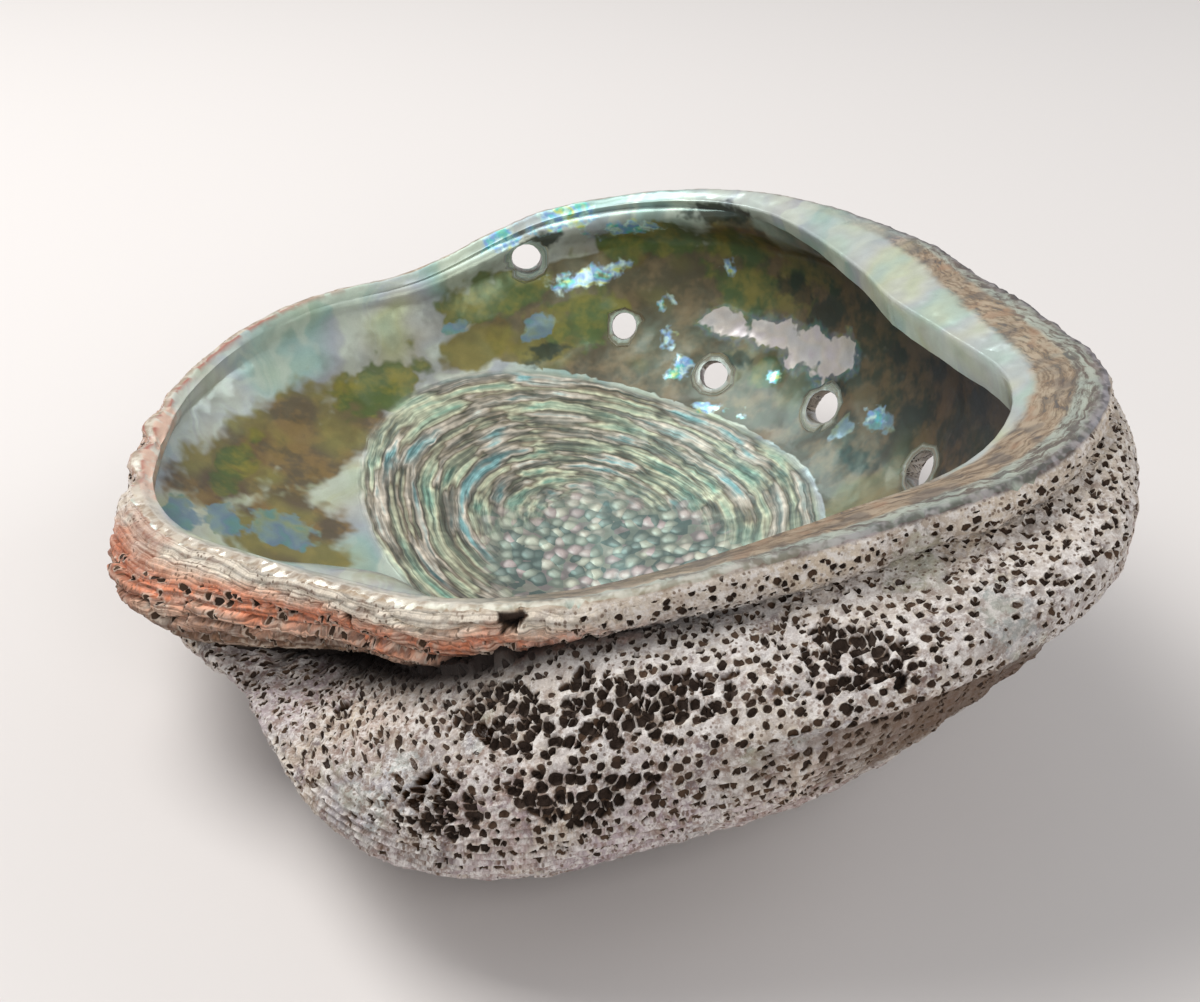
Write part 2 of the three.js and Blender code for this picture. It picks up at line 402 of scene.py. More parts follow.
    def wall_axes(self, angle: float, depth: float, side: Side) -> tuple[np.ndarray, np.ndarray, np.ndarray]:
        """Directions at a point of the wall.

        Args:
            angle: Degrees round the middle axis.
            depth: How far below the rim.
            side: Which face of the wall.

        Returns:
            Unit directions round the shell, down the wall, and out of the shell.
        """
        here = self.wall_point(angle, depth, side)
        round_ = self.wall_point(angle + 1, depth, side) - here
        down = self.wall_point(angle, depth + 0.6, side) - here
        out = np.cross(down, round_)
        out /= np.linalg.norm(out)
        round_ /= np.linalg.norm(round_)
        return round_, np.cross(round_, out), out


# ---------------------------------------------------------------- places on the wall


@dataclass(frozen=True)
class Mark:
    """An oval place on the wall, at an angle and a depth below the rim."""

    angle: float
    depth: float
    across: float
    down: float
    turn: float = 0.0
    side: Side = Side.INSIDE


def marks(side: Side, *places: tuple[float, ...]) -> tuple[Mark, ...]:
    """Marks on one face of the wall, each from its angle, depth, sizes and turn."""
    return tuple(Mark(*place, side=side) for place in places)


@dataclass
class Spots:
    """Points of the skin, as the form drew them before any relief."""

    rest: np.ndarray
    stage: np.ndarray
    sunk: np.ndarray
    run: np.ndarray
    form: ShellForm

    @property
    def inside(self) -> np.ndarray:
        """True where a point is past the rim's crest, on the nacre."""
        return self.stage >= Part.SHELF.value[0]

    @property
    def depth(self) -> np.ndarray:
        """Depth below the rim."""
        return self.sunk * self.form.depth

    @property
    def angle(self) -> np.ndarray:
        """Degrees round the middle axis.

        Returns:
            The angles, from 0 to 360.
        """
        drift = self.sunk**self.form.crown_drift
        x = self.rest[:, 0] - self.form.crown[0] * drift
        y = self.rest[:, 1] - self.form.crown[1] * drift
        return np.degrees(np.arctan2(y, x)) % 360

    def share(self, part: Part) -> np.ndarray:
        """Share of the way along one part, held at 0 before it and 1 after it."""
        return np.clip(self.stage - part.value[0], 0, 1)

    def near(self, marks: tuple[Mark, ...]) -> np.ndarray:
        """How far inside any of several marks each point is.

        Args:
            marks: The oval places.

        Returns:
            1 at a mark's middle, 0 on its outline, and down to -1 beyond it.
        """
        best = np.full(len(self.rest), -1.0)
        for mark in marks:
            middle = self.form.wall_point(mark.angle, mark.depth, mark.side)
            round_, down, out = self.form.wall_axes(mark.angle, mark.depth, mark.side)
            away = self.rest - middle
            a, b, n = away @ round_, away @ down, away @ out
            c, s = cosd(mark.turn), sind(mark.turn)
            u, v = (a * c + b * s) / mark.across, (b * c - a * s) / mark.down
            value = 1 - np.sqrt(u * u + v * v + (n / 16) ** 2)
            best = np.maximum(best, np.where(self.inside == (mark.side is Side.INSIDE), value, -1))
        return best


@dataclass(frozen=True)
class Markings:
    """Where each look is found on the wall. Each method gives one smooth value for each point."""

    map_middle: float = 345.0
    olive: tuple[Mark, ...] = marks(
        Side.INSIDE,
        (134, 21, 13, 7.5, 8), (106, 13, 15, 5.5, -6), (80, 9, 14, 5), (60, 17, 17, 6),
        (168, 18, 12, 4), (57, 29, 5, 4), (64, 10, 12, 5), (92, 22, 12, 7), (46, 12, 9, 5),
    )  # fmt: skip
    umber: tuple[Mark, ...] = marks(
        Side.INSIDE,
        (162, 19, 32, 9, -10), (150, 25, 22, 8), (178, 29, 16, 13), (194, 34, 12, 15), (140, 28, 9, 4),
        (112, 20, 11, 6), (84, 11.5, 7, 4), (62, 8, 10, 6), (100, 24, 12, 5), (186, 42, 12, 8),
    )  # fmt: skip
    blue: tuple[Mark, ...] = marks(
        Side.INSIDE,
        (182, 21, 5, 4.5), (177, 27.5, 6, 7.5, 20), (101, 21.4, 4.6, 3.4, 20), (115, 15, 3.4, 2),
        (22, 28, 4.2, 2.6), (31, 31, 3, 3), (187, 16, 9, 3.5),
    )  # fmt: skip
    pearl: tuple[Mark, ...] = marks(
        Side.INSIDE,
        (67, 23.4, 6, 2.6, 4), (57, 24, 8, 3.4, 8), (46, 24.2, 8.5, 4.8), (39, 23, 5, 4.4),
    )  # fmt: skip
    # Glints are painted highlights: bright spots of reflected light laid into the nacre's colour.
    painted_glint: tuple[Mark, ...] = marks(
        Side.INSIDE,
        (91, 15.2, 10, 2.9, 6), (104, 1.5, 5, 4), (83, 6, 8, 2.4), (93, 1.5, 8, 2),
        (78, 21.4, 2.4, 2.2), (78, 26.3, 2.6, 2.6), (76, 30.4, 3.4, 3), (55, 29.3, 2.6, 1.8),
        (60, 34.6, 2.2, 1.6), (70, 34.8, 4, 1.8), (24, 27.6, 2.8, 2), (66, 14, 3, 2.4),
    )  # fmt: skip
    # Dark marks: partly dark stain, partly painted shade under the rim and beside the holes.
    dark_and_shade: tuple[Mark, ...] = marks(
        Side.INSIDE,
        (98, 5.6, 6, 3), (66, 3.4, 9, 3), (52, 16, 8, 3.4), (64, 28.4, 5, 2.6, 6), (38, 27.6, 6.5, 2.6),
        (101, 25.4, 6.4, 3), (22, 33, 6, 3),
    )  # fmt: skip
    comb: tuple[Mark, ...] = marks(
        Side.OUTSIDE,
        (264, 10, 8, 5), (272, 9.5, 12, 6), (279, 9, 7, 4), (268, 17, 10, 3.6), (292, 8, 8, 5),
        (258, 18.6, 6, 4), (20, 12, 16, 7), (75, 20, 14, 8), (335, 24, 14, 7),
    )  # fmt: skip
    worn: tuple[Mark, ...] = marks(
        Side.OUTSIDE,
        (261, 11.6, 2.4, 5), (304, 7.4, 5, 6, 20), (302, 4.4, 5, 3), (254, 17, 9, 5, -18),
        (249, 22, 9, 5), (286, 14.6, 9, 2.2, -8), (310, 17, 12, 4), (120, 14, 12, 6, 20),
        (40, 20, 12, 6, -20),
    )  # fmt: skip
    rust: tuple[Mark, ...] = marks(
        Side.OUTSIDE,
        (322, 13, 12, 7), (335, 8, 12, 5), (176, 3, 26, 5), (140, 4, 22, 4), (205, 9, 16, 7),
    )  # fmt: skip
    burrow: tuple[Mark, ...] = marks(
        Side.OUTSIDE,
        (272, 3.4, 24, 2.6), (300, 3, 26, 3), (319, 4.6, 9, 4), (294, 10, 7, 5), (245, 9, 16, 5),
        (258, 18, 7, 5), (340, 7, 18, 5), (226, 13, 14, 5),
    )  # fmt: skip

    def lamellae(self, spots: Spots) -> np.ndarray:
        """The layered edge of the lip, over the groove."""
        window = ease(spots.angle, 192, 204) * (1 - ease(spots.angle, 262, 282))
        return window * (spots.stage >= 1.9) * (1 - ease(spots.stage, 3.6, 4.2))

    def groove(self, spots: Spots) -> np.ndarray:
        """Painted shade in the bottom of the groove between lip and spire."""
        hollow = 1 - np.clip(np.abs(spots.stage - 2.02) / 0.42, 0, 1)
        return hollow * (1.3 * swell(spots.angle, 236, 50) + 0.5 * swell(spots.angle, 276, 36))

    def sponge(self, spots: Spots) -> np.ndarray:
        """How thickly the boring sponge has pitted the crust.

        Args:
            spots: Points of the skin.

        Returns:
            About 1 where the pits crowd, and 0 or less where there are none.
        """
        under = 1 - ease(spots.depth, 17, 34)
        amount = 0.42 + 0.8 * under * (0.45 + 0.55 * swell(spots.angle, 290, 105))
        worn = np.clip(3 * spots.near(self.worn), 0, 1)
        amount = amount * (1 - 0.4 * self.lamellae(spots)) * (1 - 0.8 * worn)
        amount = amount * (1 - 0.5 * swell(spots.angle, 165, 60)) * (1 - ease(spots.stage, 2.86, 2.98))
        amount = amount - 0.9 * self.lamellae(spots) * (1 - ease(spots.depth, 3.5, 6.5))
        return amount - 1.5 * swell(spots.angle, 165, 6) * (1 - ease(spots.depth, 25, 33))

    def stain(self, spots: Spots) -> np.ndarray:
        """The brown skin over the wall round the older holes and in under the shelf.

        Args:
            spots: Points of the skin.

        Returns:
            Above 0 where the skin is, and down to -1 away from it.
        """
        far = 1.35 * ease(spots.depth, 7, 15) * np.clip(2.4 * swell(spots.angle, 44, 92), 0, 1)
        under = 1.1 * ease(spots.stage, 6.2, 7.2) * np.clip(1.5 * swell(spots.angle, 330, 112), 0, 1)
        away = ease(spots.form.scar_spot(spots.rest[:, 0], spots.rest[:, 1])[2], 0.975, 1.035)
        return np.maximum(far, under) * away * 2 - 1

    def shade(self, spots: Spots) -> np.ndarray:
        """Painted shade: darker brown in the hollow under the thick end of the shelf."""
        dim = ease(spots.stage, 5.9, 6.8) * (1 - ease(spots.depth, 24, 40))
        return dim * np.clip(1.8 * swell(spots.angle, 355, 100), 0, 1)

    def side_map(self, spots: Spots) -> np.ndarray:
        """The shell's side rolled out flat.

        Args:
            spots: Points of the skin.

        Returns:
            Distance round the shell, distance from the rim, and 0.
        """
        turns = np.arange(-180, 181, 1.0)
        rim = spots.form.even_reach(turns + self.map_middle) + 6
        table = np.append(0, np.cumsum(rim[:-1] * math.radians(1)))
        turn = (spots.angle - self.map_middle + 180) % 360 - 180
        return np.stack([np.interp(turn, turns, table), spots.run, 0 * turn], -1)

    def plate(self, spots: Spots) -> np.ndarray:
        """The inner shelf, from its crest to its edge."""
        real = np.clip(1.6 * (swell(spots.angle, 330, 96) + 0.3 * swell(spots.angle, 262, 26)), 0, 1)
        return real * (1 - ease(spots.stage, 5.3, 5.8))

    def fields(self, spots: Spots) -> Values:
        """All the values that the finishes read.

        Args:
            spots: Points of the skin.

        Returns:
            One array for each name.
        """
        names = ("olive", "umber", "blue", "pearl", "painted_glint", "dark_and_shade", "comb", "worn", "rust", "burrow")
        made = {name: spots.near(getattr(self, name)) for name in names}
        made.update(
            lamellae=self.lamellae(spots),
            groove=self.groove(spots),
            sponge=self.sponge(spots),
            stain=self.stain(spots),
            shade=self.shade(spots),
            plate=self.plate(spots),
            shelf_share=spots.share(Part.SHELF),
            low=ease(spots.depth, 25, 33),
            side_map=self.side_map(spots),
            under_map=spots.rest * (1, 1, 0) + (300, 300, 0),
            depth=spots.depth,
            scar=spots.form.scar_spot(spots.rest[:, 0], spots.rest[:, 1])[2],
        )
        return made


# ---------------------------------------------------------------- nodes


class Wiring:
    """Adds nodes to one tree and joins them up. It serves shader and geometry trees alike."""

    vectors = ("rest", "scar_flow", "shelf_flow", "side_map", "under_map")

    def __init__(self, tree: bpy.types.NodeTree) -> None:
        """Keeps the tree."""
        self.tree = tree

    def node(self, kind: str, settings: dict | None = None, sockets: dict | None = None) -> bpy.types.Node:
        """Adds a node.

        Args:
            kind: The node's type.
            settings: Values of the node's own properties.
            sockets: What each input takes: another node's output, or a constant.

        Returns:
            The node.
        """
        made = self.tree.nodes.new(kind)
        for name, value in (settings or {}).items():
            setattr(made, name, value)
        for name, value in (sockets or {}).items():
            self.feed(made.inputs[name], value)
        return made

    def feed(self, socket: Socket, value: object) -> None:
        """Gives an input its link or its constant.

        Args:
            socket: The input.
            value: Another node's output, or a constant.
        """
        if isinstance(value, Socket):
            self.tree.links.new(value, socket)
        else:
            socket.default_value = value

    def sum(self, operation: str, *terms: object) -> Socket:
        """Does a sum on plain numbers.

        Args:
            operation: The sum's name.
            terms: Its numbers, in order.

        Returns:
            The result.
        """
        made = self.node("ShaderNodeMath", {"operation": operation})
        for socket, value in zip(made.inputs, terms):
            self.feed(socket, value)
        return made.outputs[0]

    def plus(self, first: object, second: object) -> Socket:
        """One number and another."""
        return self.sum("ADD", first, second)

    def less(self, first: object, second: object) -> Socket:
        """One number less another."""
        return self.sum("SUBTRACT", first, second)

    def times(self, first: object, second: object) -> Socket:
        """One number times another."""
        return self.sum("MULTIPLY", first, second)

    def scaled(self, value: object, size: object, start: object) -> Socket:
        """A number times a size, from a start."""
        return self.sum("MULTIPLY_ADD", value, size, start)

    def most(self, first: object, second: object) -> Socket:
        """The larger of two numbers."""
        return self.sum("MAXIMUM", first, second)

    def move(self, operation: str, *terms: object) -> Socket:
        """Does a sum on vectors.

        Args:
            operation: The sum's name.
            terms: Its vectors, in order, or a vector and a number for SCALE.

        Returns:
            The result.
        """
        made = self.node("ShaderNodeVectorMath", {"operation": operation})
        sockets = [made.inputs[0], made.inputs["Scale"]] if operation == "SCALE" else made.inputs
        for socket, value in zip(sockets, terms):
            self.feed(socket, value)
        return made.outputs[0]

    def moved(self, first: object, second: object) -> Socket:
        """One vector and another."""
        return self.move("ADD", first, second)

    def scale(self, vector: object, size: object) -> Socket:
        """A vector or a colour times a number."""
        return self.move("SCALE", vector, size)

    def lumps(self, place: Socket, size: object, detail: float, rough: float) -> bpy.types.Node:
        """Adds soft noise.

        Args:
            place: Where in the noise.
            size: About how large its lumps are.
            detail: How many finer layers it has.
            rough: How strong they are.

        Returns:
            The node, with the noise as a number and as a vector.
        """
        scale = 1.0 / size if isinstance(size, (int, float)) else self.sum("DIVIDE", 1.0, size)
        made = self.node("ShaderNodeTexNoise", None, {"Vector": place, "Detail": detail, "Roughness": rough})
        self.feed(made.inputs["Scale"], scale)
        return made

    def noise(self, place: Socket, size: object, detail: float = 2.0, rough: float = 0.5) -> Socket:
        """Soft noise as a number."""
        return self.lumps(place, size, detail, rough).outputs[0]

    def drift(self, place: Socket, size: object, detail: float = 2.0, rough: float = 0.5) -> Socket:
        """Soft noise as a vector."""
        return self.lumps(place, size, detail, rough).outputs[1]

    def cells(self, place: Socket, size: float, feature: str = "F1", flat: bool = False) -> bpy.types.Node:
        """A cell pattern with cells of the given size, on a plane if it is flat."""
        kind = {"feature": feature, "voronoi_dimensions": "2D" if flat else "3D"}
        return self.node("ShaderNodeTexVoronoi", kind, {"Vector": place, "Scale": 1.0 / size})

    def span(
        self, value: object, low: object, high: object, start: object = 0.0, end: object = 1.0
    ) -> Socket:
        """Changes smoothly from start to end as the value goes from low to high.

        Args:
            value: The value.
            low: Where the change begins.
            high: Where it is done.
            start: The result up to low.
            end: The result from high.

        Returns:
            The result.
        """
        made = self.node("ShaderNodeMapRange", {"interpolation_type": "SMOOTHSTEP"})
        for socket, term in zip(made.inputs, (value, low, high, start, end)):
            self.feed(socket, term)
        return made.outputs[0]

    def blend(self, amount: object, first: object, second: object) -> Socket:
        """Mixes two colours.

        Args:
            amount: Share of the second colour.
            first: The first colour.
            second: The second colour.

        Returns:
            The mixed colour.
        """
        made = self.node("ShaderNodeMix", {"data_type": "RGBA"})
        for index, term in ((0, amount), (6, first), (7, second)):
            self.feed(made.inputs[index], term)
        return made.outputs[2]

    def level(self, amount: object, first: object, second: object) -> Socket:
        """Mixes two numbers.

        Args:
            amount: Share of the second number.
            first: The first number.
            second: The second number.

        Returns:
            The mixed number.
        """
        made = self.node("ShaderNodeMix", {"data_type": "FLOAT"})
        for index, term in ((0, amount), (2, first), (3, second)):
            self.feed(made.inputs[index], term)
        return made.outputs[0]

    def ramp(self, value: Socket, stops: tuple[tuple[float, tuple], ...]) -> Socket:
        """A colour that runs through several stops.

        Args:
            value: Where between the stops, from 0 to 1.
            stops: The place and the colour of each stop.

        Returns:
            The colour.
        """
        made = self.node("ShaderNodeValToRGB", None, {"Fac": value})
        line = made.color_ramp
        while len(line.elements) < len(stops):
            line.elements.new(0.5)
        for element, (spot, colour) in zip(line.elements, stops):
            element.position = spot
            element.color = colour
        return made.outputs[0]

    def parts(self, vector: Socket) -> tuple[Socket, Socket, Socket]:
        """The three numbers of a vector."""
        made = self.node("ShaderNodeSeparateXYZ", None, {"Vector": vector})
        return tuple(made.outputs)

    def read(self, name: str) -> Socket:
        """Reads what is kept on the mesh under a name.

        Args:
            name: The name.

        Returns:
            The number or vector.
        """
        vector = name in self.vectors
        if self.tree.bl_idname == "GeometryNodeTree":
            kind = {"data_type": "FLOAT_VECTOR" if vector else "FLOAT"}
            return self.node("GeometryNodeInputNamedAttribute", kind, {"Name": name}).outputs["Attribute"]
        made = self.node("ShaderNodeAttribute", {"attribute_name": name})
        return made.outputs["Vector" if vector else "Fac"]


class Kind(Enum):
    """The kinds of socket that a group has."""

    NUMBER = "NodeSocketFloat"
    VECTOR = "NodeSocketVector"
    COLOUR = "NodeSocketColor"
    MESH = "NodeSocketGeometry"


def new_group(
    name: str, takes: dict[str, Kind], gives: dict[str, Kind], tree: str = "ShaderNodeTree"
) -> tuple[Wiring, dict[str, Socket], bpy.types.Node]:
    """Starts a node group.

    Args:
        name: The group's name.
        takes: Its inputs.
        gives: Its outputs.
        tree: The type of tree.

    Returns:
        The wiring, the inputs by name, and the node whose inputs are the group's outputs.
    """
    group = bpy.data.node_groups.new(name, tree)
    for title, kind in takes.items():
        group.interface.new_socket(title, in_out="INPUT", socket_type=kind.value)
    for title, kind in gives.items():
        group.interface.new_socket(title, in_out="OUTPUT", socket_type=kind.value)
    wiring = Wiring(group)
    start = wiring.node("NodeGroupInput")
    end = wiring.node("NodeGroupOutput")
    return wiring, {title: start.outputs[title] for title in takes}, end


def place_group(wiring: Wiring, group: bpy.types.NodeTree, **sockets: object) -> bpy.types.Node:
    """Puts a shader group into a tree.

    Args:
        wiring: The tree's wiring.
        group: The group.
        sockets: What each of its inputs takes.

    Returns:
        The group's node.
    """
    return wiring.node("ShaderNodeGroup", {"node_tree": group}, sockets)


def paint(red: float, green: float, blue: float) -> tuple[float, float, float, float]:
    """A paint from its red, green and blue on the usual 0 to 255 scale."""
    return (*((channel / 255) ** 2.2 for channel in (red, green, blue)), 1.0)


# ---------------------------------------------------------------- shared effects


@dataclass(frozen=True)
class SpongeHoles:
    """The holes that boring sponge leaves: single pits, honeycomb and wide burrows.

    The mesh and the crust's finish wire up the same pattern, so colour and hollows agree. The side
    of the shell and its underside each have a flat map, so that the pits are round on both.
    """

    pit_cell: float = 1.7
    pit_small: float = 0.17
    pit_large: float = 0.42
    pit_depth: float = 0.9
    comb_cell: float = 1.85
    comb_depth: float = 1.2
    burrow_cell: float = 8.0
    burrow_depth: float = 2.3
    ring_proud: float = 0.14

    def pits(self, w: Wiring, place: Socket, crowd: Socket) -> tuple[Socket, Socket]:
        """Single round pits on one flat map.

        Args:
            w: The tree to wire.
            place: Where on the map.
            crowd: How crowded the pits are.

        Returns:
            The pits, and the rings round them.
        """
        spot = w.cells(place, self.pit_cell, flat=True)
        chance, luck, shade = w.parts(spot.outputs["Color"])
        radius = w.level(chance, self.pit_small, self.pit_large)
        there = w.span(crowd, w.less(luck, 0.05), w.plus(luck, 0.05))
        pit = w.span(spot.outputs["Distance"], radius, w.times(radius, 0.7))
        ring = w.span(spot.outputs["Distance"], w.times(radius, 1.7), w.times(radius, 1.1))
        deep = w.times(there, w.level(shade, 0.55, 1.0))
        return w.times(pit, deep), w.times(ring, there)

    def wire(self, w: Wiring, given: dict[str, Socket]) -> dict[str, Socket]:
        """Wires the pattern into a tree.

        Args:
            w: The tree to wire.
            given: The place, the two flat maps, the share of the underside's map, and how much sponge,
                honeycomb and burrow there is.

        Returns:
            Height of the crust, how dark the hollow is (the pits' own dark and painted shade inside them),
            and the pale ring round a pit.
        """
        place = given["Place"]
        stir = w.move("SUBTRACT", w.drift(place, 2.6), (0.5, 0.5, 0.5))
        side = w.moved(given["Side"], w.scale(stir, 1.1))
        under = w.moved(given["Under"], w.scale(stir, 1.1))
        cloud = w.noise(place, 8.0)
        crowd = w.plus(given["Sponge"], w.scaled(cloud, 1.4, -0.7))
        low = given["Low"]
        side_pit, side_ring = self.pits(w, side, w.less(crowd, w.times(low, 1.4)))
        other = w.less(crowd, w.scaled(low, -1.4, 1.4))
        under_pit, under_ring = self.pits(w, under, other)
        pit, ring = w.most(side_pit, under_pit), w.most(side_ring, under_ring)
        cell = w.cells(side, self.comb_cell, flat=True)
        wall = w.cells(side, self.comb_cell, "DISTANCE_TO_EDGE", True).outputs["Distance"]
        size = w.level(w.parts(cell.outputs["Color"])[0], 0.4, 0.62)
        combed = w.span(w.plus(given["Comb"], w.scaled(cloud, 2.2, -1.1)), 0.02, 0.14)
        hive = w.span(cell.outputs["Distance"], size, w.times(size, 0.75))
        hive = w.times(w.times(hive, w.span(wall, 0.05, 0.12)), combed)
        wide = w.moved(place, w.scale(stir, 4.0))
        cave = w.cells(wide, self.burrow_cell)
        chance, luck, _ = w.parts(cave.outputs["Color"])
        hole = w.span(cave.outputs["Distance"], w.level(chance, 0.1, 0.28), w.level(chance, 0.05, 0.2))
        keep = w.span(w.plus(given["Burrow"], 0.35), w.less(luck, 0.1), w.plus(luck, 0.1))
        hole = w.times(hole, keep)
        drop = w.most(w.times(pit, self.pit_depth), w.times(hive, self.comb_depth))
        drop = w.most(drop, w.times(hole, self.burrow_depth))
        height = w.less(w.times(ring, self.ring_proud), drop)
        # The hollows' dark: partly their own colour, partly painted shade inside them.
        dark_and_shade = w.most(w.most(pit, hive), hole)
        return {"Height": height, "Pit shade": dark_and_shade, "Ring": w.less(ring, pit)}

    def reads(self, w: Wiring) -> dict[str, Socket]:
        """Reads what the pattern needs from the values kept on a mesh.

        Args:
            w: The tree to wire.

        Returns:
            The pattern's inputs, by title.
        """
        names = ("rest", "side_map", "under_map", "low", "sponge", "comb", "burrow")
        titles = ("Place", "Side", "Under", "Low", "Sponge", "Comb", "Burrow")
        return {title: w.read(name) for title, name in zip(titles, names)}

    def group(self) -> bpy.types.NodeTree:
        """Builds the pattern as a shader group.

        Returns:
            The group.
        """
        number, vector = Kind.NUMBER, Kind.VECTOR
        takes = {"Place": vector, "Side": vector, "Under": vector, "Low": number}
        takes.update({"Sponge": number, "Comb": number, "Burrow": number})
        w, given, end = new_group("sponge holes", takes, {"Height": number, "Pit shade": number, "Ring": number})
        for title, socket in self.wire(w, given).items():
            w.feed(end.inputs[title], socket)
        return w.tree


@dataclass(frozen=True)
class SharedEffects:
    """The shader groups that more than one finish uses, built once."""

    holes: SpongeHoles = SpongeHoles()
    pale: tuple = (
        paint(170, 181, 162), paint(160, 178, 168), paint(172, 174, 172), paint(188, 181, 166),
        paint(180, 183, 156),
    )  # fmt: skip
    vivid: tuple = (
        paint(96, 196, 160), paint(84, 190, 205), paint(120, 160, 225), paint(150, 200, 215),
        paint(205, 215, 110),
    )  # fmt: skip
    lip_crest: tuple = (paint(160, 140, 118), paint(196, 184, 166))
    shelf_crest: tuple = (paint(84, 76, 72), paint(140, 132, 132))
    made: dict[str, bpy.types.NodeTree] = field(default_factory=dict)

    def build(self) -> None:
        """Builds every group."""
        self.made["holes"] = self.holes.group()
        self.made["patch"] = self.patch_group()
        self.made["tint"] = self.tint_group()
        self.made["lines"] = self.lines_group()
        self.made["lustre"] = self.lustre_group()
        self.made["rim"] = self.rim_group()

    @staticmethod
    def patch_group() -> bpy.types.NodeTree:
        """The group for a patch with a ragged outline, and the narrow border round it.

        Returns:
            The group.
        """
        takes = {
            "Place": Kind.VECTOR,
            "Field": Kind.NUMBER,
            "Ragged": Kind.NUMBER,
            "Size": Kind.NUMBER,
            "Soft": Kind.NUMBER,
        }
        w, given, end = new_group("ragged patch", takes, {"Patch": Kind.NUMBER, "Border": Kind.NUMBER})
        rough = w.scaled(w.noise(given["Place"], given["Size"], 2.0, 0.6), 2.0, -1.0)
        value = w.plus(given["Field"], w.times(rough, given["Ragged"]))
        w.feed(end.inputs["Patch"], w.span(value, 0.0, given["Soft"]))
        near = w.span(w.sum("ABSOLUTE", value), w.times(given["Soft"], 2.2), 0.0)
        w.feed(end.inputs["Border"], near)
        return w.tree

    def rim_group(self) -> bpy.types.NodeTree:
        """The group for the rim's crest: bone on the lip, and mottled grey by the shelf.

        Returns:
            The group.
        """
        w, given, end = new_group(
            "rim crest", {"Place": Kind.VECTOR, "Shelf": Kind.NUMBER}, {"Colour": Kind.COLOUR}
        )
        mottle = w.noise(given["Place"], 2.4, 2.0, 0.7)
        lip = w.blend(w.span(mottle, 0.4, 0.6), *self.lip_crest)
        shelf = w.blend(w.span(mottle, 0.4, 0.62), *self.shelf_crest)
        w.feed(end.inputs["Colour"], w.blend(given["Shelf"], lip, shelf))
        return w.tree

    @staticmethod
    def tint_group() -> bpy.types.NodeTree:
        """The group that makes a colour uneven: cloudy, and dusted with a fine grain.

        Returns:
            The group.
        """
        takes = {
            "Colour": Kind.COLOUR,
            "Place": Kind.VECTOR,
            "Size": Kind.NUMBER,
            "Cloud": Kind.NUMBER,
            "Grain": Kind.NUMBER,
        }
        w, given, end = new_group("uneven tint", takes, {"Colour": Kind.COLOUR})
        cloud = w.less(w.noise(given["Place"], given["Size"], 1.0, 0.6), 0.5)
        grain = w.less(w.noise(given["Place"], 0.35, 1.0, 0.7), 0.5)
        shade = w.plus(w.times(cloud, given["Cloud"]), w.times(grain, given["Grain"]))
        bright = w.plus(1.0, w.times(shade, 2.0))
        w.feed(end.inputs["Colour"], w.scale(given["Colour"], w.most(bright, 0.05)))
        return w.tree

    @staticmethod
    def lines_group() -> bpy.types.NodeTree:
        """The group for fine growth lines: noise that changes along one direction only.

        Returns:
            The group.
        """
        takes = {"Across": Kind.NUMBER, "Place": Kind.VECTOR, "Step": Kind.NUMBER, "Waver": Kind.NUMBER}
        w, given, end = new_group("growth lines", takes, {"Line": Kind.NUMBER})
        drift = w.noise(given["Place"], 11.0)
        value = w.plus(w.sum("DIVIDE", given["Across"], given["Step"]), w.times(drift, given["Waver"]))
        made = w.node(
            "ShaderNodeTexNoise", {"noise_dimensions": "1D"}, {"W": value, "Scale": 1.0, "Detail": 3.0}
        )
        w.feed(end.inputs["Line"], made.outputs[0])
        return w.tree

    @staticmethod
    def ring(w: Wiring, value: Socket, colours: tuple[tuple, ...]) -> Socket:
        """Runs through colours evenly and back to the first one.

        Args:
            w: The tree to wire.
            value: Where between them, from 0 to 1.
            colours: The colours.

        Returns:
            The colour.
        """
        count = len(colours)
        return w.ramp(value, tuple((step / count, colours[step % count]) for step in range(count + 1)))

    def lustre_group(self) -> bpy.types.NodeTree:
        """The group for the play of colour of mother of pearl.

        Returns:
            The group.
        """
        takes = {"Place": Kind.VECTOR, "Size": Kind.NUMBER, "Shift": Kind.NUMBER, "Vivid": Kind.NUMBER}
        w, given, end = new_group("lustre", takes, {"Colour": Kind.COLOUR})
        stretch = w.move("MULTIPLY", given["Place"], (1.0, 1.0, 1.6))
        wave = w.noise(stretch, given["Size"], 2.0, 0.55)
        value = w.sum("FRACT", w.plus(w.times(wave, 2.6), given["Shift"]))
        pale, vivid = self.ring(w, value, self.pale), self.ring(w, value, self.vivid)
        w.feed(end.inputs["Colour"], w.blend(given["Vivid"], pale, vivid))
        return w.tree


# ---------------------------------------------------------------- finishes


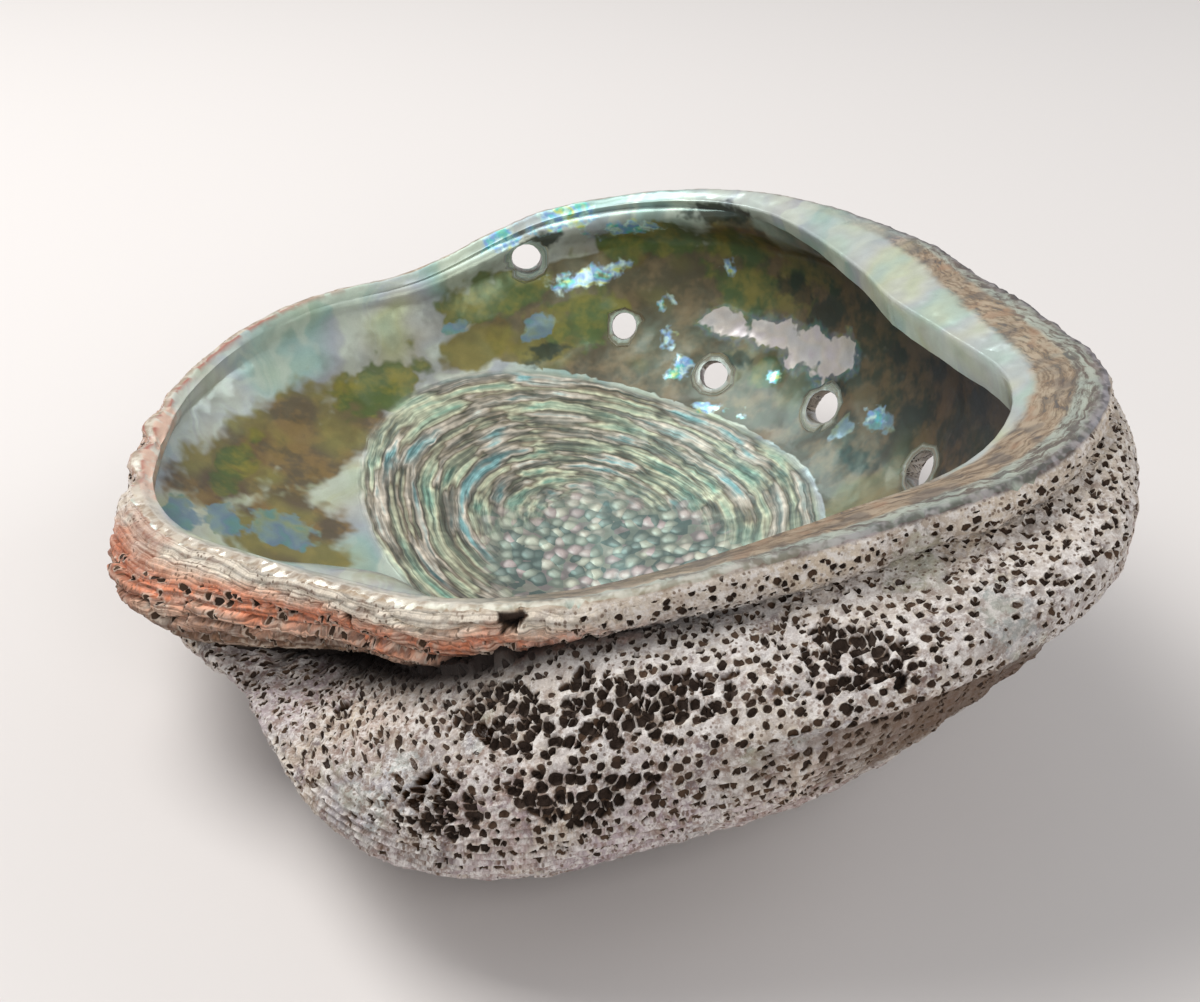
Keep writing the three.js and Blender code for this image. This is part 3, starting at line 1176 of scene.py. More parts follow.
@dataclass(frozen=True)
class Finish:
    """What every finish has: a name and the shared effects."""

    name: str
    effects: SharedEffects

    def start(self) -> tuple[bpy.types.Material, Wiring, bpy.types.Node]:
        """Starts a material with its one shader.

        Returns:
            The material, its wiring and its shader.
        """
        material = bpy.data.materials.new(self.name)
        material.use_nodes = True
        wiring = Wiring(material.node_tree)
        shader = material.node_tree.nodes["Principled BSDF"]
        return material, wiring, shader

    def patch(self, w: Wiring, place: Socket, name: str, ragged: float, size: float, soft: float) -> tuple[
        Socket, Socket
    ]:
        """Wires one ragged patch from the value kept on the mesh, and gives the patch and its border."""
        made = place_group(
            w,
            self.effects.made["patch"],
            Place=place,
            Field=w.read(name),
            Ragged=ragged,
            Size=size,
            Soft=soft,
        )
        return made.outputs["Patch"], made.outputs["Border"]

    def tint(
        self, w: Wiring, colour: object, place: Socket, size: float, cloud: float, grain: float
    ) -> Socket:
        """Wires an uneven version of a colour."""
        made = place_group(
            w, self.effects.made["tint"], Colour=colour, Place=place, Size=size, Cloud=cloud, Grain=grain
        )
        return made.outputs["Colour"]

    def lines(self, w: Wiring, across: Socket, place: Socket, step: float, waver: float) -> Socket:
        """Wires fine growth lines."""
        made = place_group(w, self.effects.made["lines"], Across=across, Place=place, Step=step, Waver=waver)
        return made.outputs["Line"]

    def rim(self, w: Wiring, place: Socket, colour: Socket) -> Socket:
        """Lays the crest's own colour along the rim, where crust and nacre meet."""
        made = place_group(w, self.effects.made["rim"], Place=place, Shelf=w.read("shelf_rim"))
        return w.blend(w.span(w.read("rim_seam"), 0.0, 0.55), colour, made.outputs["Colour"])

    def lustre(self, w: Wiring, place: Socket, size: float, shift: object, vivid: object) -> Socket:
        """Wires the play of colour."""
        made = place_group(w, self.effects.made["lustre"], Place=place, Size=size, Shift=shift, Vivid=vivid)
        return made.outputs["Colour"]


@dataclass(frozen=True)
class CrustFinish(Finish):
    """The chalky, sponge-bored outside with its layered red lip."""

    white: tuple = paint(222, 218, 214)
    chalk: tuple = paint(186, 180, 177)
    cream: tuple = paint(196, 180, 158)
    ash: tuple = paint(124, 112, 110)
    lilac: tuple = paint(170, 150, 157)
    brown: tuple = paint(112, 82, 64)
    pit_brown: tuple = paint(88, 66, 48)
    # Near black for the painted shade in the pits and the groove.
    shade_black: tuple = paint(32, 22, 17)
    orange: tuple = paint(200, 126, 94)
    salmon: tuple = paint(206, 166, 142)
    sand: tuple = paint(150, 126, 98)
    bone: tuple = paint(206, 196, 180)
    rust: tuple = paint(150, 84, 58)
    bared: tuple = paint(148, 148, 152)

    def base(self, w: Wiring, place: Socket) -> Socket:
        """The crust's own colour, before holes: chalk with cream, ash and lilac in it.

        Args:
            w: The material's wiring.
            place: Where on the wall.

        Returns:
            The colour.
        """
        cloud = w.noise(place, 26.0)
        mottle = w.noise(place, 5.0, 3.0, 0.65)
        colour = w.blend(w.span(cloud, 0.46, 0.66, 0.0, 0.8), self.chalk, self.cream)
        colour = w.blend(w.span(mottle, 0.52, 0.66), colour, self.ash)
        lilac = w.times(w.span(w.read("depth"), 9.0, 22.0), w.span(w.noise(place, 14.0), 0.38, 0.58))
        colour = w.blend(w.times(lilac, 0.6), colour, self.lilac)
        near_rim = w.span(w.read("depth"), 6.5, 2.5)
        return w.blend(w.times(near_rim, 0.55), colour, self.cream)

    def layered(self, w: Wiring, place: Socket, colour: Socket) -> Socket:
        """The lip's layers: a bone ridge, salmon and orange below it, then worn brown and sand.

        Args:
            w: The material's wiring.
            place: Where on the wall.
            colour: The colour under it.

        Returns:
            The colour.
        """
        depth = w.plus(w.read("depth"), w.scaled(w.noise(place, 9.0, 3.0), 7.0, -3.5))
        layers = w.ramp(w.sum("DIVIDE", depth, 20.0), (
            (0.0, self.bone), (0.12, self.bone), (0.18, self.salmon), (0.24, self.orange),
            (0.36, self.orange), (0.44, self.salmon), (0.56, self.brown), (1.0, self.sand),
        ))  # fmt: skip
        fine = self.lines(w, w.read("depth"), place, 0.6, 5.0)
        layers = w.scale(layers, w.span(fine, 0.3, 0.7, 0.45, 1.3))
        worn = w.span(w.noise(place, 4.5, 2.0, 0.7), 0.5, 0.62)
        layers = w.blend(w.times(worn, 0.55), layers, w.blend(w.span(fine, 0.4, 0.6), self.brown, self.bone))
        return w.blend(w.read("lamellae"), colour, layers)

    def build(self) -> bpy.types.Material:
        """Builds the material.

        Returns:
            The material.
        """
        material, w, shader = self.start()
        place = w.read("rest")
        colour = self.layered(w, place, self.base(w, place))
        rust, _ = self.patch(w, place, "rust", 0.7, 4.0, 0.5)
        colour = w.blend(w.times(rust, 0.5), colour, self.rust)
        step = self.lines(w, w.read("growth"), place, 0.55, 3.0)
        lined = w.times(w.span(w.read("depth"), 8.0, 22.0), 0.6)
        colour = w.scale(colour, w.level(lined, 1.0, w.span(step, 0.3, 0.7, 0.62, 1.15)))
        worn, edge = self.patch(w, place, "worn", 0.9, 4.5, 0.2)
        pearl = w.blend(0.45, self.lustre(w, place, 9.0, 0.2, 0.25), self.bared)
        colour = w.blend(w.times(worn, 0.5), colour, pearl)
        colour = w.blend(w.times(edge, 0.35), colour, self.pit_brown)
        colour = self.tint(w, colour, place, 2.4, 0.22, 0.22)
        holes = place_group(w, self.effects.made["holes"], **self.effects.holes.reads(w))
        dark_and_shade, ring = holes.outputs["Pit shade"], holes.outputs["Ring"]
        colour = w.blend(w.times(w.most(ring, 0.0), 0.5), colour, self.bone)
        tiny = w.cells(place, 0.8)
        tiny_pit = w.span(tiny.outputs["Distance"], 0.36, 0.2)
        tiny_pit = w.times(tiny_pit, w.span(w.noise(place, 6.0), 0.38, 0.56))
        powder = w.span(w.noise(place, 1.3, 3.0, 0.75), 0.44, 0.62)
        powdery = w.level(w.read("lamellae"), 0.72, 0.12)
        colour = w.blend(w.times(powder, powdery), colour, self.white)
        soil = w.span(w.noise(place, 1.7, 3.0, 0.75), 0.5, 0.36)
        colour = w.blend(w.times(soil, w.span(w.read("depth"), 4.0, 12.0, 0.25, 0.6)), colour, self.brown)
        colour = w.blend(w.times(tiny_pit, 0.75), colour, self.pit_brown)
        # Darkens the crust's dips: dirt, and painted shade.
        dip_dirt_and_shade = w.read("dip_dirt_and_shade")
        colour = w.blend(w.span(dip_dirt_and_shade, 0.1, 0.75, 0.0, 0.85), colour, self.pit_brown)
        # Darkens the pits: their own dark brown, and painted shade to near black.
        colour = w.blend(w.span(dark_and_shade, 0.05, 0.45), colour, self.pit_brown)
        colour = w.blend(w.span(dark_and_shade, 0.3, 0.95, 0.0, 0.8), colour, self.shade_black)
        # Painted shade in the groove between lip and spire.
        groove = w.read("groove")
        colour = w.blend(w.span(groove, 0.1, 0.75), colour, self.shade_black)
        colour = self.rim(w, place, colour)
        w.feed(shader.inputs["Base Color"], colour)
        w.feed(shader.inputs["Roughness"], w.level(worn, 0.86, 0.38))
        grain = w.noise(place, 0.5, 2.0, 0.7)
        height = w.plus(holes.outputs["Height"], w.times(grain, 0.3))
        bump = w.node("ShaderNodeBump", None, {"Strength": 0.7, "Distance": MM, "Height": height})
        w.feed(shader.inputs["Normal"], bump.outputs["Normal"])
        return material


@dataclass(frozen=True)
class NacreFinish(Finish):
    """The bowl: mother of pearl with its stains, scar, shelf and lip."""

    mist: tuple = paint(196, 204, 188)
    slate: tuple = paint(158, 168, 158)
    olive: tuple = paint(132, 124, 52)
    moss: tuple = paint(84, 98, 50)
    umber: tuple = paint(82, 61, 40)
    amber: tuple = paint(122, 92, 46)
    # Near black, for the dark marks and the painted shade.
    soot_and_shade: tuple = paint(34, 30, 24)
    sea: tuple = paint(100, 130, 136)
    rose: tuple = paint(222, 208, 212)
    tan: tuple = paint(124, 100, 76)
    hazel: tuple = paint(124, 98, 68)
    straw: tuple = paint(162, 142, 120)
    dun: tuple = paint(92, 80, 74)
    peach: tuple = paint(212, 178, 158)
    brick: tuple = paint(160, 88, 72)
    bone: tuple = paint(206, 198, 184)
    # Colour of the painted highlights on the glints.
    painted_glare: tuple = paint(206, 236, 226)
    sienna: tuple = paint(150, 112, 84)
    streaks: tuple = (
        (0.3, paint(116, 146, 128)), (0.42, paint(174, 176, 150)), (0.5, paint(108, 96, 80)),
        (0.58, paint(184, 174, 160)), (0.68, paint(116, 154, 156)),
    )  # fmt: skip
    stones: tuple = (
        (0.2, paint(126, 140, 134)), (0.45, paint(166, 176, 162)), (0.65, paint(198, 200, 182)),
        (0.85, paint(184, 170, 168)),
    )  # fmt: skip
    coat_roughness: float = 0.12
    film_thickness: float = 420.0
    film_index: float = 1.6

    def wall(self, w: Wiring, place: Socket) -> Socket:
        """The clean nacre: pale, cloudy, streaked the way that it grew.

        Args:
            w: The material's wiring.
            place: Where on the wall.

        Returns:
            The colour.
        """
        colour = self.lustre(w, place, 34.0, 0.1, 0.12)
        streak = self.lines(w, w.read("growth"), place, 2.2, 2.5)
        colour = w.blend(w.span(streak, 0.38, 0.66, 0.0, 0.75), colour, self.mist)
        return w.blend(w.span(w.noise(place, 12.0, 3.0), 0.5, 0.75, 0.0, 0.5), colour, self.slate)

    def stains(self, w: Wiring, place: Socket, colour: Socket) -> Socket:
        """The brown and olive skins over the nacre, dark marks that are partly painted shade, and the painted
        shade of the hollow under the shelf.

        Args:
            w: The material's wiring.
            place: Where on the wall.
            colour: The colour under it.

        Returns:
            The colour.
        """
        mottle = w.noise(place, 6.5, 3.0, 0.62)
        blotch = w.noise(place, 15.0, 1.0)
        stain, _ = self.patch(w, place, "stain", 0.7, 7.0, 0.4)
        skin = w.blend(w.span(mottle, 0.42, 0.66), self.umber, self.hazel)
        skin = w.blend(w.span(blotch, 0.5, 0.62, 0.0, 0.4), skin, self.olive)
        colour = w.blend(w.times(stain, 0.93), colour, skin)
        umber, _ = self.patch(w, place, "umber", 0.55, 6.0, 0.3)
        brown = w.blend(w.span(mottle, 0.42, 0.6), self.umber, self.amber)
        brown = w.blend(w.span(blotch, 0.46, 0.56, 0.1, 0.7), brown, self.olive)
        colour = w.blend(w.times(umber, 0.92), colour, brown)
        olive, rim = self.patch(w, place, "olive", 0.9, 5.5, 0.28)
        green = w.blend(w.span(mottle, 0.4, 0.64), self.moss, self.olive)
        colour = w.blend(w.times(olive, 0.92), colour, green)
        colour = w.blend(w.times(rim, 0.35), colour, self.umber)
        # Dark marks, partly painted shade under the rim and beside the holes.
        dark_and_shade, _ = self.patch(w, place, "dark_and_shade", 0.8, 3.5, 0.45)
        colour = w.blend(w.times(dark_and_shade, 0.85), colour, self.soot_and_shade)
        # Painted shade in the hollow under the thick end of the shelf.
        return w.blend(
            w.times(w.read("shade"), 0.85), colour, w.blend(w.span(mottle, 0.4, 0.6), self.soot_and_shade, self.umber)
        )

    def gleams(self, w: Wiring, place: Socket, colour: Socket) -> tuple[Socket, Socket]:
        """The blue and pearly patches, and the glints, which are painted highlights.

        Args:
            w: The material's wiring.
            place: Where on the wall.
            colour: The colour under it.

        Returns:
            The colour, and how much of the patches there is.
        """
        blue, _ = self.patch(w, place, "blue", 0.8, 3.5, 0.3)
        sea = w.blend(0.6, self.lustre(w, place, 7.0, 0.25, 0.6), self.sea)
        colour = w.blend(w.times(blue, 0.85), colour, sea)
        pearl, edge = self.patch(w, place, "pearl", 0.9, 4.0, 0.2)
        colour = w.blend(w.times(edge, 0.15), colour, self.lustre(w, place, 4.0, 0.0, 0.7))
        colour = w.blend(
            w.times(pearl, 0.9), colour, w.blend(0.3, self.rose, self.lustre(w, place, 9.0, 0.5, 0.2))
        )
        # Painted highlights: the glints, in bright lustre that fades to a pale glare.
        painted_glint, _ = self.patch(w, place, "painted_glint", 1.0, 2.8, 0.5)
        bright = self.lustre(w, place, 4.5, 0.15, 0.8)
        bright = w.blend(w.span(w.noise(place, 1.8, 2.0), 0.45, 0.7), bright, self.painted_glare)
        colour = w.blend(painted_glint, colour, bright)
        return colour, w.most(painted_glint, w.most(pearl, blue))

    def scar(self, w: Wiring, place: Socket, colour: Socket) -> tuple[Socket, Socket]:
        """The muscle scar: streaks round its near end, pebbles in its middle and bands beyond.

        Args:
            w: The material's wiring.
            place: Where on the wall.
            colour: The colour under the scar.

        Returns:
            The colour and the scar's own height.
        """
        flow = w.read("scar_flow")
        out, round_, _ = w.parts(flow)
        flow = w.moved(flow, w.scale(w.drift(place, 22.0), 2.6))
        streak = w.noise(flow, 1.0, 3.0, 0.6)
        hue = w.noise(w.move("MULTIPLY", flow, (0.45, 0.6, 1.0)), 1.0, 2.0)
        streaks = w.ramp(hue, self.streaks)
        streaks = w.scale(streaks, w.span(streak, 0.38, 0.62, 0.42, 1.45))
        ripple = w.cells(place, 1.7)
        streaks = w.scale(streaks, w.span(ripple.outputs["Distance"], 0.1, 0.7, 1.18, 0.8))
        pebble = w.cells(w.moved(place, w.scale(w.drift(place, 4.0), 1.6)), 2.4)
        luck, _, _ = w.parts(pebble.outputs["Color"])
        stones = w.ramp(luck, self.stones)
        stones = w.scale(stones, w.span(pebble.outputs["Distance"], 0.25, 0.68, 1.12, 0.42))
        heart = w.read("scar_heart")
        amount = w.span(w.plus(heart, w.scaled(w.noise(place, 9.0), 0.5, -0.25)), 0.0, 0.35)
        marks = w.blend(amount, streaks, stones)
        mask = w.span(w.plus(w.read("scar"), w.scaled(streak, 0.05, -0.025)), 1.0, 0.95)
        mask = w.times(mask, w.read("scar_floor"))
        stone_height = w.span(pebble.outputs["Distance"], 0.1, 0.6, 0.35, 0.0)
        height = w.level(amount, w.times(streak, 0.5), stone_height)
        return w.blend(mask, colour, marks), w.times(height, mask)

    def shelf(self, w: Wiring, place: Socket, colour: Socket) -> tuple[Socket, Socket]:
        """The inner shelf: a nacre band by its edge, slanted brown streaks, and a grey line by the crest.

        Args:
            w: The material's wiring.
            place: Where on the wall.
            colour: The colour beside the shelf.

        Returns:
            The colour and how much of it is the brown part of the shelf.
        """
        share = w.read("shelf_share")
        flow = w.moved(w.read("shelf_flow"), w.scale(w.drift(place, 9.0, 3.0), 5.0))
        streak = w.noise(flow, 1.0, 4.0, 0.7)
        brown = w.blend(w.span(streak, 0.4, 0.6), self.tan, self.straw)
        brown = w.blend(w.span(streak, 0.46, 0.34), brown, self.dun)
        cloud = w.noise(place, 7.0, 2.0, 0.65)
        brown = w.blend(w.span(cloud, 0.5, 0.64, 0.0, 0.6), brown, self.dun)
        brown = w.blend(w.span(cloud, 0.44, 0.34, 0.0, 0.5), brown, self.sienna)
        pearl = w.blend(0.4, self.lustre(w, place, 16.0, 0.15, 0.12), self.mist)
        ragged = w.scaled(w.noise(place, 5.0, 3.0), 0.24, -0.12)
        split = w.plus(w.read("shelf_split"), ragged)
        inner = w.span(w.less(share, split), -0.06, 0.1)
        made = w.blend(inner, brown, pearl)
        line = w.span(share, w.read("shelf_line"), w.less(w.read("shelf_line"), 0.1))
        made = w.blend(w.times(line, 0.75), made, w.blend(w.span(streak, 0.4, 0.6), self.dun, self.slate))
        near = w.read("shelf_near")
        glaze = w.blend(w.span(streak, 0.4, 0.62), self.umber, self.tan)
        made = w.blend(w.times(w.times(near, w.span(share, 0.2, 0.45)), 0.8), made, glaze)
        plate = w.read("plate")
        return w.blend(plate, colour, made), w.times(plate, w.less(1.0, inner))

    def lip(self, w: Wiring, place: Socket, colour: Socket) -> Socket:
        """The growing lip: a peach margin with red tips, and a bone ridge where it thickens.

        Args:
            w: The material's wiring.
            place: Where on the wall.
            colour: The colour under it.

        Returns:
            The colour.
        """
        margin = w.span(w.plus(w.read("lip_margin"), w.scaled(w.noise(place, 4.0), 0.6, -0.3)), 0.1, 0.5)
        bone = w.blend(w.span(w.noise(place, 3.0), 0.45, 0.6), self.peach, self.bone)
        colour = w.blend(margin, colour, bone)
        red = w.times(w.read("lip_red"), w.span(w.noise(place, 3.5), 0.42, 0.56))
        colour = w.blend(red, colour, self.brick)
        ridge = w.times(w.read("lip_ridge"), w.span(w.noise(place, 2.5, 3.0), 0.3, 0.5, 0.6, 1.0))
        return w.blend(ridge, colour, self.tint(w, self.bone, place, 3.0, 0.25, 0.1))

    def build(self) -> bpy.types.Material:
        """Builds the material.

        Returns:
            The material.
        """
        material, w, shader = self.start()
        place = w.read("rest")
        colour = self.stains(w, place, self.wall(w, place))
        colour, gleam = self.gleams(w, place, colour)
        colour, scar_height = self.scar(w, place, colour)
        colour, matt = self.shelf(w, place, colour)
        colour = self.rim(w, place, self.lip(w, place, colour))
        colour = self.tint(w, colour, place, 3.0, 0.16, 0.08)
        w.feed(shader.inputs["Base Color"], colour)
        stained = w.times(w.span(w.read("stain"), -0.2, 0.4), w.less(1.0, gleam))
        dull = w.most(w.times(w.read("scar_floor"), w.span(w.read("scar"), 1.0, 0.95, 0.0, 0.6)), matt)
        dull = w.most(dull, w.times(stained, 0.7))
        dull = w.most(dull, w.times(w.read("lip_matt"), 0.75))
        w.feed(shader.inputs["Roughness"], w.level(dull, 0.3, 0.56))
        w.feed(shader.inputs["Metallic"], w.level(dull, w.level(gleam, 0.18, 0.45), 0.0))
        w.feed(shader.inputs["Coat Weight"], w.level(dull, 0.3, 0.06))
        shader.inputs["Coat Roughness"].default_value = self.coat_roughness
        shader.inputs["Thin Film Thickness"].default_value = self.film_thickness
        shader.inputs["Thin Film IOR"].default_value = self.film_index
        ripple = w.noise(place, 3.2, 1.0)
        height = w.plus(scar_height, w.times(ripple, 0.3))
        bump = w.node("ShaderNodeBump", None, {"Strength": 0.6, "Distance": MM, "Height": height})
        w.feed(shader.inputs["Normal"], bump.outputs["Normal"])
        return material


@dataclass(frozen=True)
class FloorFinish(Finish):
    """Plain pale studio floor."""

    pale: tuple = paint(212, 208, 206)

    def build(self) -> bpy.types.Material:
        """Builds the material.

        Returns:
            The material.
        """
        material, _, shader = self.start()
        shader.inputs["Base Color"].default_value = self.pale
        shader.inputs["Roughness"].default_value = 0.85
        return material


# ---------------------------------------------------------------- meshes


def new_mesh(name: str, points: np.ndarray, faces: np.ndarray) -> bpy.types.Object:
    """Makes an object from points in metres and faces that all have as many corners.

    Args:
        name: The object's name.
        points: One row of x, y and z for each point.
        faces: One row of point numbers for each face.

    Returns:
        The object, in the scene.
    """
    mesh = bpy.data.meshes.new(name)
    corners = faces.shape[1]
    mesh.vertices.add(len(points))
    mesh.vertices.foreach_set("co", points.astype(np.float32).ravel())
    mesh.loops.add(faces.size)
    mesh.loops.foreach_set("vertex_index", faces.astype(np.int32).ravel())
    mesh.polygons.add(len(faces))
    mesh.polygons.foreach_set("loop_start", np.arange(0, faces.size, corners, dtype=np.int32))
    mesh.polygons.foreach_set("loop_total", np.full(len(faces), corners, np.int32))
    mesh.update(calc_edges=True)
    made = bpy.data.objects.new(name, mesh)
    bpy.context.collection.objects.link(made)
    return made


def keep_value(mesh: bpy.types.Mesh, name: str, values: np.ndarray) -> None:
    """Keeps a number or a vector for each point of a mesh.

    Args:
        mesh: The mesh.
        name: What it is kept under.
        values: One number or one row for each point.
    """
    vector = values.ndim == 2
    made = mesh.attributes.new(name, "FLOAT_VECTOR" if vector else "FLOAT", "POINT")
    made.data.foreach_set("vector" if vector else "value", values.astype(np.float32).ravel())


def kept_value(mesh: bpy.types.Mesh, name: str) -> np.ndarray:
    """Reads back what was kept for each point of a mesh.

    Args:
        mesh: The mesh.
        name: What it was kept under.

    Returns:
        One number or one row for each point.
    """
    kept = mesh.attributes[name]
    vector = kept.data_type == "FLOAT_VECTOR"
    values = np.zeros(len(kept.data) * (3 if vector else 1), np.float32)
    kept.data.foreach_get("vector" if vector else "value", values)
    return values.reshape(-1, 3) if vector else values


def with_modifiers(piece: bpy.types.Object) -> None:
    """Replaces an object's mesh by what its modifiers make of it.

    Args:
        piece: The object.
    """
    graph = bpy.context.evaluated_depsgraph_get()
    made = bpy.data.meshes.new_from_object(
        piece.evaluated_get(graph), preserve_all_data_layers=True, depsgraph=graph
    )
    made.name = piece.data.name
    piece.modifiers.clear()
    piece.data = made


@dataclass(frozen=True)
class Relief:
    """How far lumps, ledges, ridges and dips stand out of the skin or sink into it."""

    broad: float = 0.9
    middle: float = 0.5
    fine: float = 0.34
    layer_step: float = 2.7
    layer_proud: float = 0.95
    layer_gain: float = 1.5
    near_ridge: float = 0.28
    near_ridges: float = 5.0
    growth_ridge: float = 0.35
    growth_ridges: float = 1.5
    whorl_ridge: float = 0.3
    whorl_ridges: float = 0.9
    end_ledge: float = 1.9
    worn_dip: float = 0.25
    deepest_pit: float = 0.6
    least_wall: float = 1.6
    dip_dirt_and_shade_depth: float = 1.6
    nacre_broad: float = 0.3
    nacre_middle: float = 0.12
    scar_grain: float = 0.14
    skin_lump: float = 0.25
    skin_dip: float = 0.25
    hole_dip: float = 0.55
    pleat: float = 1.1
    rim_middle: float = 0.8
    rim_fine: float = 0.5
    apex: tuple[float, float] = (-20.0, -84.0)


@dataclass
class AbaloneShell:
    """The whole shell: its dense skin, the relief on it, its breathing holes and its finishes."""

    form: ShellForm
    markings: Markings
    effects: SharedEffects
    columns: int = 1000
    front_crowding: float = 20.0
    most_triangles: int = 194_000
    hole_lean: tuple[float, float, float] = (0.0, 0.7, 0.0)
    collar_spread: float = 4.6
    collar_proud: float = 1.1
    collar_reach: float = 18.0
    hole_sides: int = 36
    hole_rings: tuple[tuple[float, float], ...] = ((-1.0, 1.25), (-0.1, 1.12), (0.35, 1.0), (1.2, 1.08))
    hole_length: float = 3.0
    outer_map: tuple[float, ...] = (0.0, 0.74, 0.86, 0.985, 1.0, 1.04, 1.06, 1.1, 1.15, 1.3)
    inner_map: tuple[float, ...] = (1.3, 1.2, 1.1, 1.03, 1.0, 0.9, 0.86, 0.8, 0.72, 0.0)
    disc: tuple[float, float] = (0.235, 0.46)
    relief: Relief = Relief()
    sharp_angle: float = 58.0
    rim_middle: tuple[float, float, float] = (0.0, 0.0, 0.0)

    def skin(self) -> tuple[Spots, np.ndarray, np.ndarray]:
        """Draws the dense skin.

        Returns:
            The points, their outward directions and the faces.
        """
        columns = self.columns
        even = np.arange(columns) * 360 / columns
        angle = even - self.front_crowding * sind(even - 270)
        size = self.form.wall_sizes(angle)
        rings, stages, sunks = [], [], []
        for part in Part:
            order, count = part.value
            count = count
            last = count if part is Part.FLOOR else count + 1
            for step in range(1, last):
                out, height = self.form.profile_at(part, size, step / count)
                rings.append(self.form.in_space(angle, out, height, part))
                stages.append(np.full(columns, order + step / count))
                sunks.append(np.clip(-height / self.form.depth, 0, 1) + 0 * angle)
        grid = np.array(rings)
        steps = np.linalg.norm(np.diff(grid, axis=0), axis=-1)
        run = np.vstack([np.zeros((1, columns)), np.cumsum(steps, axis=0)])
        crest = int(np.searchsorted([ring[0] for ring in stages], Part.SHELF.value[0]))
        run = run - run[crest]
        round_ = np.roll(grid, -1, axis=1) - np.roll(grid, 1, axis=1)
        up = np.gradient(grid, axis=0)
        out = np.cross(round_, up)
        out /= np.maximum(np.linalg.norm(out, axis=-1, keepdims=True), 1e-9)
        crown = np.array([[*self.form.crown, -self.form.depth]])
        floor = grid[-1].mean(0, keepdims=True)
        points = np.vstack([grid.reshape(-1, 3), crown, floor])
        ways = np.vstack([out.reshape(-1, 3), [[0, 0, -1]], [[0, 0, 1]]])
        stage = np.append(np.ravel(stages), [0.0, 9.0])
        sunk = np.append(np.ravel(sunks), [1.0, 1 - self.form.wall / self.form.depth])
        run = np.append(np.ravel(run), [run[0].mean(), run[-1].mean()])
        return Spots(points, stage, sunk, run, self.form), ways, self.faces(len(rings), columns)

    @staticmethod
    def faces(rings: int, columns: int) -> np.ndarray:
        """Triangles of a closed skin whose points go ring by ring, then the crown and the floor.

        Args:
            rings: Number of rings.
            columns: Points in each ring.

        Returns:
            Three point numbers for each triangle.
        """
        here = np.arange(columns)
        there = (here + 1) % columns
        base = (np.arange(rings - 1) * columns)[:, None]
        a, b = (base + here).ravel(), (base + there).ravel()
        c, d = b + columns, a + columns
        crown, floor, last = rings * columns, rings * columns + 1, (rings - 1) * columns
        return np.vstack([
            np.stack([a, b, c], 1),
            np.stack([a, c, d], 1),
            np.stack([np.full(columns, crown), there, here], 1),
            np.stack([last + here, last + there, np.full(columns, floor)], 1),
        ])  # fmt: skip

    def sampled(self, spots: Spots, fields: Values) -> Values:
        """Reads the sponge holes and some plain noise at every point of the skin.

        Args:
            spots: The skin's points.
            fields: What the sponge holes read.

        Returns:
            Height of the sponge holes, and noise from -1 to 1 with lumps of 1.5, 6 and 24 mm.
        """
        probe = bpy.data.objects.new("probe", bpy.data.meshes.new("probe"))
        bpy.context.collection.objects.link(probe)
        probe.data.vertices.add(len(spots.rest))
        keep_value(probe.data, "rest", spots.rest)
        for name in ("side_map", "under_map", "low", "sponge", "comb", "burrow"):
            keep_value(probe.data, name, fields[name])
        w, given, end = new_group("skin probe", {"Mesh": Kind.MESH}, {"Mesh": Kind.MESH}, "GeometryNodeTree")
        place = w.read("rest")
        holes = self.effects.holes.wire(w, self.effects.holes.reads(w))
        wanted = {"holes": holes["Height"]}
        for name, size in (("fine", 1.5), ("middle", 6.0), ("broad", 24.0)):
            wanted[name] = w.scaled(w.noise(place, size, 3.0), 2.0, -1.0)
        flow = given["Mesh"]
        for name, socket in wanted.items():
            store = {"data_type": "FLOAT", "domain": "POINT"}
            made = w.node(
                "GeometryNodeStoreNamedAttribute", store, {"Geometry": flow, "Name": name, "Value": socket}
            )
            flow = made.outputs["Geometry"]
        w.feed(end.inputs["Mesh"], flow)
        probe.modifiers.new("probe", "NODES").node_group = w.tree
        with_modifiers(probe)
        values = {name: kept_value(probe.data, name).astype(float) for name in wanted}
        bpy.data.objects.remove(probe)
        bpy.data.node_groups.remove(w.tree)
        return values

    def dip_dirt_and_shade(self, height: np.ndarray, noise: Values) -> np.ndarray:
        """How far a point is sunk in the crust's finer relief, for the dirt and painted shade that darken the
        dips.
        """
        return np.clip(0.15 - (height - self.relief.broad * noise["broad"]) / self.relief.dip_dirt_and_shade_depth, 0, 1)

    def growth(self, spots: Spots) -> np.ndarray:
        """Distance along the way that the shell grew: a turn round the apex, in millimetres or so."""
        dx, dy = (spots.rest[:, axis] - self.relief.apex[axis] for axis in (0, 1))
        return 0.5 * np.degrees(np.arctan2(dy, dx)) + 9 * np.log(np.hypot(dx, dy) + 6)

    def collars(self, spots: Spots) -> np.ndarray:
        """Height of the low mounds round the breathing holes, outside.

        Args:
            spots: The skin's points.

        Returns:
            Height for each point.
        """
        mound = np.zeros(len(spots.rest))
        for hole in self.form.holes:
            middle = self.form.wall_point(hole.angle, hole.depth, Side.INSIDE)
            _, _, out = self.form.wall_axes(hole.angle, hole.depth, Side.INSIDE)
            lean = out + np.array(self.hole_lean)
            lean /= np.linalg.norm(lean)
            away = spots.rest - middle
            off = np.linalg.norm(away - np.outer(away @ lean, lean), axis=1)
            radius = hole.width / 2
            rise = 1 - ease(off, radius + 1.2, radius + self.collar_spread)
            close = np.linalg.norm(away, axis=1) < self.collar_reach
            mound = np.maximum(mound, rise * close)
        return self.collar_proud * mound

